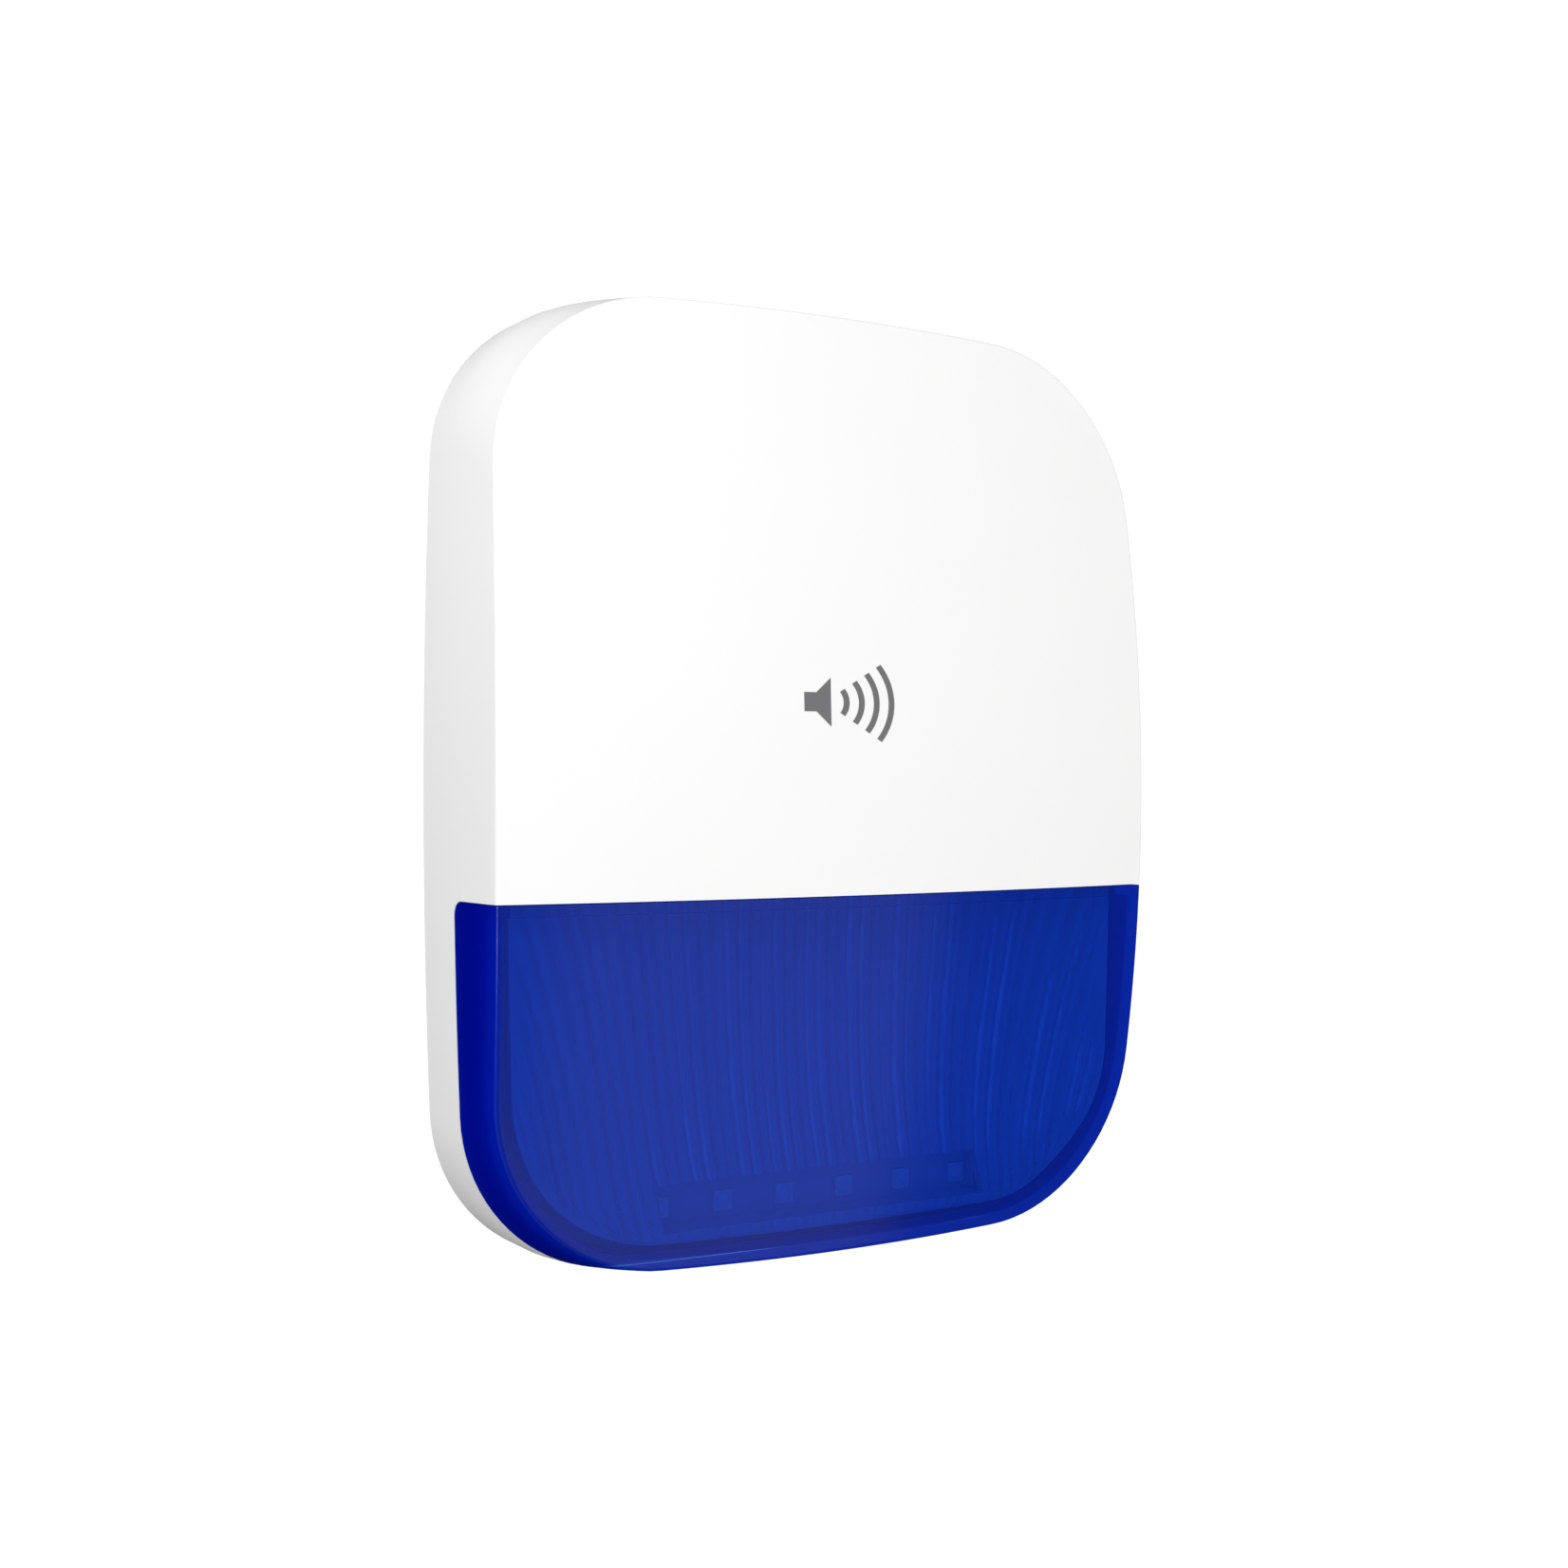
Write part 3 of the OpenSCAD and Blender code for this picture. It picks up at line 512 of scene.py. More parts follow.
MATERIALS = {
    "bracket_white": moulded("bracket_white", (0.80, 0.80, 0.79), 0.02, (0.45, 0.6)),
    "shell_white": moulded("shell_white", (0.90, 0.90, 0.898), 0.008, (0.42, 0.5), 1400, 0.008, 0.3),
    "lens_blue": lens_material(),
    "seal_rubber": moulded("seal_rubber", (0.018, 0.018, 0.019), 0.15, (0.6, 0.8), 700),
    "reflector_silver": moulded(
        "reflector_silver", (0.62, 0.64, 0.66), 0.04, (0.25, 0.4), 500, 0.01, 0.5, 0.2,
    ),
    "steel": brushed("steel", (0.62, 0.62, 0.61)),
    "board_green": board_material(),
    "board_white": moulded("board_white", (0.60, 0.61, 0.60), 0.02, (0.3, 0.4), 700, 0.01, 0.5),
    "led_yellow": moulded("led_yellow", (0.95, 0.93, 0.82), 0.02, (0.12, 0.2), 700, 0.005, 0.8),
    "lead_ivory": moulded("lead_ivory", (0.74, 0.71, 0.60), 0.04, (0.4, 0.5)),
    "chip_black": moulded("chip_black", (0.014, 0.014, 0.015), 0.2, (0.45, 0.6), 1200),
    "can_metal": brushed("can_metal", (0.68, 0.68, 0.66)),
    "brass": brushed("brass", (0.78, 0.57, 0.22)),
    "cap_blue": moulded("cap_blue", (0.015, 0.03, 0.12), 0.1, (0.25, 0.35)),
    "terminal_green": moulded("terminal_green", (0.03, 0.30, 0.09), 0.05, (0.4, 0.5)),
    "housing_black": moulded("housing_black", (0.035, 0.035, 0.037), 0.15, (0.45, 0.6), 700),
    "lead_red": moulded("lead_red", (0.45, 0.012, 0.010), 0.06, (0.35, 0.45)),
    "cell_blue": moulded("cell_blue", (0.03, 0.10, 0.38), 0.05, (0.2, 0.3)),
    "button_grey": moulded("button_grey", (0.16, 0.16, 0.165), 0.05, (0.45, 0.55)),
}


# ---------------------------------------------------------------- cover
SEAT_D = (12.0, 15.0)
SEAT_W = 7.5
DUCT_MOUTH_W = 84.4
LOCK_D = 5.5
LOCK_HEAD_Z = -120.4
LOCK_HEAD_HOLE = (3.9, -130, -117.5)
LOCK_SHANK_HOLE = (1.85, -130, -110)
LOCK_LUG = ((-8, 8), (1.6, 8.5), (-117.9, -115.9))
TOP_RELIEF = ((-75, 75), (-5, 3.8), (110, 150))
BOSS_R = 4
UPPER_BOSS_D = 26
LOWER_BOSS_D = 17.4
BACK_SCREW_HOLE = (1.3, 11, 17)
TRAY_SCREW_RECESS = (2.7, 11, 14.2)
TRAY_SCREW_HOLE = (1.25, 13, 60)
BACK_SCREWS = [(sx * x, z) for sx in (-1, 1) for x, z in ((77, 100), (88.5, 20), (77, -100), (88, -58))]
TRAY_SCREWS = [(sx * x, z) for sx in (-1, 1) for x, z in ((83, -42), (57, -104.5))]


def band(inset, thickness, near, far):
    """Closed ring that follows the outline, between two insets and two distances from the wall."""
    bm = bmesh.new()
    corners = [(inset, near), (inset, far), (inset + thickness, far), (inset + thickness, near)]
    rows = [[bm.verts.new(world(x, d, z)) for x, z in outline(i)] for i, d in corners]
    n = len(rows[0])
    for a, b in zip(rows, rows[1:] + rows[:1]):
        for i in range(n):
            bm.faces.new((a[i], a[(i + 1) % n], b[(i + 1) % n], b[i]))
    return bm


def boxes(*ranges):
    """Boxes, each given as its ranges in x, depth and z."""
    bm = bmesh.new()
    for x, d, z in ranges:
        box_mesh(bm, x, d, z)
    return bm


def posts(points, r, near, far):
    """Round bars from the wall outwards, between two distances from it."""
    bm = bmesh.new()
    for x, z in points:
        bar_mesh(bm, world(x, (near + far) / 2, z), r, far - near, 48, Matrix.Rotation(math.pi / 2, 4, "X"))
    return bm


def upright(r, z0, z1):
    """Round bar along Z on the lock screw's axis."""
    bm = bmesh.new()
    bar_mesh(bm, world(0, LOCK_D, (z0 + z1) / 2), r, z1 - z0, 40)
    return bm


def make_cover():
    """White cover: domed shell with its inner seat and bosses, less the lens's space and all holes."""
    obj = cutter(shell_mesh(0, WALL, REAR_D, RIM_R))
    obj.name = "cover_shell"
    seat = cutter(band(WALL - 0.2, SEAT_W + 0.2, *SEAT_D))
    cut(seat, cutter(boxes(((-DUCT_MOUTH_W / 2, DUCT_MOUTH_W / 2), (11, 16), (-HEIGHT, -90)))))
    bosses = cutter(rings_mesh(skin_rings(0.8, SEAT_D[0], 1.0, 3, 12)))
    upper = [p for p in BACK_SCREWS if p[1] > 0]
    lower = [p for p in BACK_SCREWS if p[1] < 0] + TRAY_SCREWS
    tall = cutter(posts(upper, BOSS_R, SEAT_D[0], UPPER_BOSS_D))
    cut(tall, cutter(posts(lower, BOSS_R, SEAT_D[0], LOWER_BOSS_D)), operation="UNION")
    cut(bosses, tall, operation="INTERSECT")
    cut(obj, seat, bosses, cutter(boxes(LOCK_LUG)), operation="UNION")
    slots = boxes(*[
        ((x - SLOT_W / 2, x + SLOT_W / 2), SLOT_D, (-HEIGHT, -HEIGHT / 2 + 3 * WALL))
        for x in ((i - (SLOT_COUNT - 1) / 2) * SLOT_PITCH for i in range(SLOT_COUNT))
    ])
    cut(
        obj, cutter(prism(lens_profile(SEAM_GAP / 2), -WIDTH, WIDTH)), cutter(slots),
        cutter(boxes(TOP_RELIEF)), cutter(upright(*LOCK_HEAD_HOLE)), cutter(upright(*LOCK_SHANK_HOLE)),
        cutter(posts(BACK_SCREWS, *BACK_SCREW_HOLE)), cutter(posts(TRAY_SCREWS, *TRAY_SCREW_RECESS)),
        cutter(posts(TRAY_SCREWS, *TRAY_SCREW_HOLE)),
    )
    return obj


cover = make_cover()
finish_piece(cover, "front_cover", material=MATERIALS["shell_white"], smooth=math.radians(32))


def make_mesh_screen():
    """Woven wire screen that follows the cover's wall behind the sound slots."""
    lines = bmesh.new()
    half, pitch, r = 38.5, 1.1, 0.14
    first_depth, depth_pitch, weave = 12.9, 0.9, 0.1
    near, mid, far = 12.7, 14.8, 16.9
    inset = WALL + 0.32
    for i in range(5):
        depth = first_depth + depth_pitch * i
        tube(lines, [world(x, depth, bottom_z(x, inset)) for x in frange(-half, half, 36)], r, 6)
    count = int(2 * half / pitch)
    for i in range(count + 1):
        x = -half + pitch * i
        z = bottom_z(x, inset)
        tube(lines, [world(x, d, z + weave * (-1) ** i) for d in (near, mid, far)], r, 6)
    return new_piece("sound_screen", lines, "sound_mesh", material=MATERIALS["steel"])


def frange(low, high, steps):
    """Evenly spaced numbers from low to high."""
    return [low + (high - low) * i / steps for i in range(steps + 1)]


def bottom_z(x, inset):
    """Height of the outline's bottom arc at x."""
    top_cz = HEIGHT / 2 - TOP_R
    return -(top_cz + math.sqrt((TOP_R - inset) ** 2 - x * x))


def tube(bm, points, r, sides=10):
    """Adds a round wire along points."""
    rows, up = [], None
    for i, p in enumerate(points):
        step = (points[min(i + 1, len(points) - 1)] - points[max(i - 1, 0)]).normalized()
        if up is None:
            up = Vector((0, 0, 1)) if abs(step.z) < 0.9 else Vector((1, 0, 0))
        out = (up - step * up.dot(step)).normalized()
        up = out
        side = step.cross(out)
        rows.append([
            bm.verts.new(p + (out * math.cos(a) + side * math.sin(a)) * r * MM)
            for a in (2 * math.pi * k / sides for k in range(sides))
        ])
    for a, b in zip(rows, rows[1:]):
        for k in range(sides):
            bm.faces.new((a[k], a[(k + 1) % sides], b[(k + 1) % sides], b[k]))
    bm.faces.new(list(reversed(rows[0])))
    bm.faces.new(rows[-1])


def rounded_path(points, rounds=3):
    """The path with its corners cut again and again, so that it bends smoothly between the same ends."""
    for _ in range(rounds):
        cuts = [points[0]]
        for a, b in zip(points, points[1:]):
            cuts += [a.lerp(b, 0.25), a.lerp(b, 0.75)]
        points = cuts + [points[-1]]
    return points


make_mesh_screen()


# ---------------------------------------------------------------- generic sound mark on the front
MARK_X, MARK_Z, MARK_H = -13.0, 20.0, 13.0
MARK_RAISED = 0.06


def mark_patch(bm, points):
    """Adds a thin raised patch with the given (x, z) outline on the dome."""
    low = [bm.verts.new(world(x, dome_depth(x, z) - 0.1, z)) for x, z in points]
    top = [bm.verts.new(world(x, dome_depth(x, z) + MARK_RAISED, z)) for x, z in points]
    n = len(points)
    for i in range(n):
        bm.faces.new((low[i], low[(i + 1) % n], top[(i + 1) % n], top[i]))
    bm.faces.new(top)
    bm.faces.new(list(reversed(low)))


def make_mark():
    """Horn with four sound waves, printed in grey."""
    bm = bmesh.new()
    h = MARK_H
    horn = [(-0.42, -0.18), (-0.16, -0.18), (0.16, -0.46), (0.16, 0.46), (-0.16, 0.18), (-0.42, 0.18)]
    mark_patch(bm, [(MARK_X + x * h, MARK_Z + z * h) for x, z in horn])
    turns = frange(-math.radians(36), math.radians(36), 16)
    for i in range(4):
        r, width = h * (0.42 + 0.34 * i), 0.13 * h
        edges = [
            [(MARK_X + 0.02 * h + reach * math.cos(a), MARK_Z + reach * math.sin(a) * 0.8) for a in turns]
            for reach in (r + width, r)
        ]
        mark_patch(bm, edges[0] + edges[1][::-1])
    return new_piece("sound_mark", bm, body="unit", material=MATERIALS["button_grey"])


make_mark()

# ---------------------------------------------------------------- lens
LENS_BORDER_T = 5.2
LENS_BORDER_W = 3.0
FLANGE_D = 17.5
FLANGE_TOP = -24.5
GASKET_T = 1.2


def rim_strip(inset, thickness, near, low, high, depth):
    """Strip of a skin inside the cover's: across from low to high, and round the lens up to depth."""
    strip = cutter(shell_mesh(inset, thickness, near, INNER_RIM_R))
    across = ((-WIDTH, WIDTH), (0, BEYOND_FRONT), (low, high))
    around = ((-WIDTH, WIDTH), (0, depth), (-HEIGHT, low + 0.1))
    cut(strip, cutter(boxes(across, around)), operation="INTERSECT", overlapping=True)
    return strip


def make_lens():
    """Clear blue shell with a thick border, and the flange by which it sits behind the cover's edge."""
    rear, under, behind = LENS_D - 3, WALL - 0.1, WALL + GASKET_T
    obj = cutter(shell_mesh(0, WALL, rear, RIM_R))
    obj.name = "lens_shell"
    border = rim_strip(
        under, LENS_BORDER_T - under, rear, SEAM_Z - LENS_BORDER_W, SEAM_Z, LENS_D + LENS_BORDER_W,
    )
    cut(obj, border, operation="UNION")
    cut(obj, cutter(prism(lens_profile(-SEAM_GAP / 2), -WIDTH, WIDTH)), operation="INTERSECT")
    flange = rim_strip(behind, LENS_BORDER_T - behind, FLANGE_D, SEAM_Z - 1, FLANGE_TOP, LENS_D + 1)
    cut(obj, flange, operation="UNION")
    return obj


lens = make_lens()
finish_piece(lens, "blue_lens", material=MATERIALS["lens_blue"], smooth=math.radians(32))

# ---------------------------------------------------------------- reflector
TRAY_INSET = 5.8
TRAY_T = 1.8
TRAY_FLOOR = 22.6
TRAY_SIDE_R = 290.0
TRAY_FALL_R = 150.0
TRAY_MID_Z = -52.0
TRAY_BLEND = 3.0
TRAY_ROWS = 60
TRAY_COLUMNS = 620
FLUTE_MID, FLUTE_EDGE, FLUTE_H, FLUTE_LEAN = 3.1, 4.6, 1.9, 0.00006
FLUTE_FADE = 5.0
FLUTE_FADE_TOP = 2.0
WINDOW_W = 96.0
WINDOW_Z = (-109.0, -98.0)
BOARD_Z = (-110.8, -96.5)
BOARD_FRONT_D = 24.2
BOARD_W = 99.0


def valley_depth(x, z):
    """Depth of the reflector's face: a valley across and a valley down, blended where they meet."""
    side = TRAY_FLOOR + TRAY_SIDE_R - math.sqrt(TRAY_SIDE_R**2 - x * x)
    fall = TRAY_FLOOR + TRAY_FALL_R - math.sqrt(TRAY_FALL_R**2 - (z - TRAY_MID_Z) ** 2)
    return (side + fall + math.sqrt((side - fall) ** 2 + TRAY_BLEND**2)) / 2 - TRAY_BLEND / 2


def flute(x, z):
    """Height of the vertical ribs, which spread out towards the sides and lean with the valley."""
    half = WIDTH / 2
    lean = x + FLUTE_LEAN * x * abs(x) * (SEAM_Z - z)
    pitch = FLUTE_MID + (FLUTE_EDGE - FLUTE_MID) * min(1.0, abs(lean) / half)
    phase = lean / pitch
    unequal = 0.75 + 0.25 * math.sin(1.7 * math.floor(phase + 0.5))
    return FLUTE_H * unequal * abs(math.cos(math.pi * phase)) ** 0.6


def half_width(z, inset):
    """Half of the width of the lens's inside at a height."""
    right = sorted((p for p in front_outline(inset) if p[0] > 0), key=lambda p: p[1])
    for (x0, z0), (x1, z1) in zip(right, right[1:]):
        if z0 <= z <= z1:
            return x0 + (x1 - x0) * (z - z0) / max(z1 - z0, 1e-6)
    return min(right, key=lambda p: abs(p[1] - z))[0]


def slab_mesh(front, back):
    """Closed solid between two grids of points, each a list of rows."""
    bm = bmesh.new()
    front, back = ([[bm.verts.new(p) for p in row] for row in grid] for grid in (front, back))
    strips = [*zip(front, front[1:]), *zip(back, back[1:]), (front[0], back[0]), (front[-1], back[-1])]
    for a, b in strips:
        for i in range(len(a) - 1):
            bm.faces.new((a[i], a[i + 1], b[i + 1], b[i]))
    for i in (0, -1):
        for j in range(len(front) - 1):
            bm.faces.new((front[j][i], front[j + 1][i], back[j + 1][i], back[j][i]))
    return bm


def make_reflector():
    """Fluted tray behind the lens, with a plain edge, and walls round the LED window."""
    low, high = -HEIGHT / 2 + DRAFT_Z + TRAY_INSET, FLANGE_TOP - 1
    turns = (math.pi / 2 * j / TRAY_ROWS for j in range(TRAY_ROWS + 1))
    zs = [low + (high - low) * (1 - math.cos(a)) for a in turns]
    zs[0] += 0.4
    front, back = [], []
    for z in zs:
        half = half_width(z, TRAY_INSET)
        upright_fade = min(1.0, (z - low) / FLUTE_FADE, (high - z) / FLUTE_FADE_TOP)
        face = [
            (x, valley_depth(x, z), min(upright_fade, (half - abs(x)) / FLUTE_FADE))
            for x in frange(-half, half, TRAY_COLUMNS)
        ]
        front.append([world(x, depth + flute(x, z) * fade, z) for x, depth, fade in face])
        back.append([world(x, depth - TRAY_T, z) for x, depth, _ in face])
    obj = cutter(slab_mesh(front, back))
    obj.name = "reflector_fluted"
    cut(obj, cutter(boxes(((-WINDOW_W / 2, WINDOW_W / 2), (0, BEYOND_FRONT), WINDOW_Z))))
    whole = (-BOARD_W / 2, BOARD_W / 2)
    walls = cutter(boxes(
        (whole, (BOARD_FRONT_D, TRAY_FLOOR + 9), (BOARD_Z[0], WINDOW_Z[0])),
        (whole, (BOARD_FRONT_D, TRAY_FLOOR + 5), (WINDOW_Z[1], BOARD_Z[1])),
        ((-BOARD_W / 2, -WINDOW_W / 2), (BOARD_FRONT_D, TRAY_FLOOR + 6), WINDOW_Z),
        ((WINDOW_W / 2, BOARD_W / 2), (BOARD_FRONT_D, TRAY_FLOOR + 6), WINDOW_Z),
    ))
    cut(walls, cutter(valley_solid(-0.3)), overlapping=True)
    cut(obj, walls, operation="UNION")
    return obj


def valley_solid(lift):
    """Everything in front of a surface that lies lift before the reflector's face."""
    half = WIDTH / 2 + 5
    xs, zs = frange(-half, half, 40), frange(-HEIGHT / 2 - 5, -20, 30)
    return slab_mesh(
        [[world(x, valley_depth(x, z) + lift, z) for x in xs] for z in zs],
        [[world(x, BEYOND_FRONT + 20, z) for x in xs] for z in zs],
    )


reflector = make_reflector()
finish_piece(reflector, "reflector_tray", material=MATERIALS["reflector_silver"], smooth=math.radians(45))


# ---------------------------------------------------------------- lens gasket
def make_lens_gasket():
    """Rubber strip between the cover's edge and the lens's flange."""
    half_gap = SEAM_GAP / 2
    obj = rim_strip(WALL, GASKET_T, FLANGE_D, SEAM_Z + half_gap, FLANGE_TOP, LENS_D - half_gap)
    obj.name = "lens_gasket_strip"
    return obj


gasket = make_lens_gasket()
finish_piece(gasket, "lens_gasket", material=MATERIALS["seal_rubber"], smooth=math.radians(32))


# ---------------------------------------------------------------- turned shapes and screws
FORWARD, TO_WALL, UP, RIGHT = (0, -1, 0), (0, 1, 0), (0, 0, 1), (1, 0, 0)


def place(x, depth, z, direction):
    """Matrix that sets a shape drawn in millimetres along its own Z at a point, along direction."""
    turn = Vector((0, 0, 1)).rotation_difference(Vector(direction)).to_matrix().to_4x4()
    return Matrix.Translation(world(x, depth, z)) @ turn @ Matrix.Scale(MM, 4)


def lathe(bm, profile, matrix, sides=36):
    """Adds the solid that a profile of (radius, height) points makes round its axis."""
    turns = [2 * math.pi * k / sides for k in range(sides)]
    rows = []
    for r, h in profile:
        around = turns if r > 0 else turns[:1]
        rows.append([bm.verts.new(matrix @ Vector((r * math.cos(a), r * math.sin(a), h))) for a in around])
    for a, b in zip(rows, rows[1:]):
        for k in range(sides):
            n = (k + 1) % sides
            low = [a[k], a[n]] if len(a) > 1 else [a[0]]
            high = [b[n], b[k]] if len(b) > 1 else [b[0]]
            bm.faces.new(low + high)


def screw_profile(head_d, head_h, shank_d, shank_l, pitch=0.7):
    """Domed head from 0 to head_h, and a threaded shank with a pointed end."""
    r, core = head_d / 2, shank_d / 2 * 0.8
    points = [(0, 0), (0.5 * r, 0.04 * head_h), (0.8 * r, 0.2 * head_h), (0.95 * r, 0.45 * head_h)]
    points += [(r, 0.7 * head_h), (0.98 * r, head_h), (core, head_h)]
    h = head_h + 0.2
    end = head_h + shank_l
    crest = shank_d / 2
    thread = ((core, 0), (crest, 0.45), (crest, 0.55), (core, 0.95))
    while h + pitch < end - 0.6:
        points += [(r_thread, h + pitch * share) for r_thread, share in thread]
        h += pitch
    return points + [(core, end - 0.5), (core * 0.5, end), (0, end)]


def make_screws(node, places, direction, head_d, head_h, shank_d, shank_l):
    """Cross-head screws whose heads' outer faces are at places, pointing in direction."""
    bm = bmesh.new()
    lathe(bm, screw_profile(head_d, head_h, shank_d, shank_l), Matrix.Scale(MM, 4))
    one = cutter(bm)
    cross = bmesh.new()
    for size in ((0.6, 0.13), (0.13, 0.6)):
        shape = Vector((size[0] * head_d, size[1] * head_d, head_h * 0.9)) * MM
        bmesh.ops.create_cube(cross, size=1, matrix=Matrix.Diagonal(shape.to_4d()))
    cut(one, cutter(cross), overlapping=True)
    joined = bmesh.new()
    for x, depth, z in places:
        copy = one.data.copy()
        copy.transform(place(x, depth, z, direction) @ Matrix.Scale(1 / MM, 4))
        joined.from_mesh(copy)
        bpy.data.meshes.remove(copy)
    bpy.data.objects.remove(one)
    return new_piece(node + "_turned", joined, node, material=MATERIALS["steel"], smooth=math.radians(40))


BOARD_REAR, BOARD_T = 17.0, 1.6
BOARD_FRONT = BOARD_REAR + BOARD_T
BOARD_POSTS = [(10, 44), (10, 91), (69, 44), (69, 89)]
SIREN_EARS = [(0, 39), (-29, -10), (29, -10)]

BACK_SCREW_D, TRAY_SCREW_D, SIREN_SCREW_D = 8.5, 12.2, 15.1
for screws in (
    ("back_cover_screws", [(x, BACK_SCREW_D, z) for x, z in BACK_SCREWS], FORWARD, 5.6, 1.6, 3.0, 6.4),
    ("reflector_screws", [(x, TRAY_SCREW_D, z) for x, z in TRAY_SCREWS], FORWARD, 5.0, 1.8, 2.2, 8.0),
    ("board_screws", [(x, BOARD_FRONT + 1.6, z) for x, z in BOARD_POSTS], TO_WALL, 4.6, 1.6, 2.5, 6.0),
    ("siren_screws", [(x, SIREN_SCREW_D, z) for x, z in SIREN_EARS], TO_WALL, 4.8, 1.6, 2.4, 4.4),
    ("locking_screw", [(0, LOCK_D, LOCK_HEAD_Z)], UP, 7.0, 2.0, 3.5, 10.4),
):
    make_screws(*screws)


# ---------------------------------------------------------------- leads, cells and board parts
LEAD_R = 0.6
SIREN_LEAD_D = 35.2
BATTERY_LEAD_Z = (66, 70)
SIREN_LEAD_SHIFT = (0, 3)


def make_leads(node, paths):
    """Round insulated wires along paths with rounded corners."""
    bm = bmesh.new()
    for path in paths:
        tube(bm, rounded_path([world(*p) for p in path]), LEAD_R, 12)
    return new_piece(node + "_round", bm, node, material=MATERIALS["lead_red"])


make_leads("siren_leads", [
    [
        (14 + k, SIREN_LEAD_D, 14), (20 + k, SIREN_LEAD_D, 30), (20 + k, 27, 39),
        (20 + k, 19.3, 44), (20 + k, 19.3, 47),
    ]
    for k in SIREN_LEAD_SHIFT
])
make_leads("battery_leads", [[(-7.4, 24, z), (0, 24, z), (6, 22, z), (8, 19.2, z)] for z in BATTERY_LEAD_Z])

CELL_X, CELL_D, CELL_Z = (-79.6, -44.9), 20.5, (48.5, 67.5)

# Profiles of (radius, height) from the piece's foot, in millimetres.
CELL_SLEEVE = [
    (0, 0.25), (7.0, 0.25), (7.2, 0), (8.3, 0), (8.5, 0.3), (8.5, 33.0), (8.3, 33.3), (6.8, 33.3),
    (6.6, 33.0), (0, 33.0),
]
CELL_REAR = [(0, 0.05), (6.7, 0.05), (6.8, 0.15), (6.8, 0.3), (0, 0.3)]
CELL_FRONT = [
    (0, 32.9), (6.4, 32.9), (6.2, 33.2), (3.3, 33.2), (3.0, 33.5), (3.0, 34.2), (2.7, 34.5), (0, 34.5),
]
CAN_SLEEVE = [
    (0, 0), (4.5, 0), (5, 0.4), (5, 1.5), (4.7, 1.8), (4.7, 2.2), (5, 2.5), (5, 12.1), (4.8, 12.4),
    (4.3, 12.4), (4.1, 12.2), (0, 12.2),
]
CAN_TOP = [(0, 12.1), (4.0, 12.1), (4.0, 12.4), (3.9, 12.5), (0, 12.5)]
LED_DOME = [(0, 0.8), (2.1, 0.8), (2.05, 1.0), (1.7, 1.28), (1.1, 1.5), (0.5, 1.58), (0, 1.6)]
TERMINAL_SCREW = [(0, 0), (1.2, 0), (1.4, 0.2), (1.4, 1.4), (0, 1.4)]


def make_cells():
    """Sleeved lithium cells with a recessed rear plate and a raised front contact."""
    sleeve, ends = bmesh.new(), bmesh.new()
    for x in CELL_X:
        for z in CELL_Z:
            at = place(x, CELL_D, z, RIGHT)
            lathe(sleeve, CELL_SLEEVE, at, 64)
            lathe(ends, CELL_REAR, at, 48)
            lathe(ends, CELL_FRONT, at, 48)
    new_piece("cell_sleeves", sleeve, "batteries", material=MATERIALS["cell_blue"])
    new_piece("cell_ends", ends, body="unit", material=MATERIALS["can_metal"])


make_cells()
CAPACITORS = [(50, 54), (62, 54)]
SCORE_D, SCORE_L, SCORE_W = 12.3, 3, 0.25


def make_capacitors():
    """Sleeved cans with a crimped foot and a scored metal top."""
    cans, tops = bmesh.new(), bmesh.new()
    for x, z in CAPACITORS:
        at = place(x, BOARD_FRONT, z, FORWARD)
        lathe(cans, CAN_SLEEVE, at, 56)
        lathe(tops, CAN_TOP, at, 56)
    new_piece("capacitor_cans", cans, "capacitors", material=MATERIALS["cap_blue"])
    top = cutter(tops)
    top.name = "capacitor_tops"
    d = BOARD_FRONT + SCORE_D
    for x, z in CAPACITORS:
        for half_x, half_z in ((SCORE_L, SCORE_W), (SCORE_W, SCORE_L)):
            cut(top, cutter(boxes(((x - half_x, x + half_x), (d, d + 1), (z - half_z, z + half_z)))))
    finish_piece(top, body="unit", material=MATERIALS["can_metal"])


make_capacitors()
CHIP_X, CHIP_Z, CHIP_H = (30.0, 42.0), (52.0, 64.0), 1.4
LEG_COUNT, LEG_PITCH, LEG_W, LEG_L = 12, 0.8, 0.34, 1.2


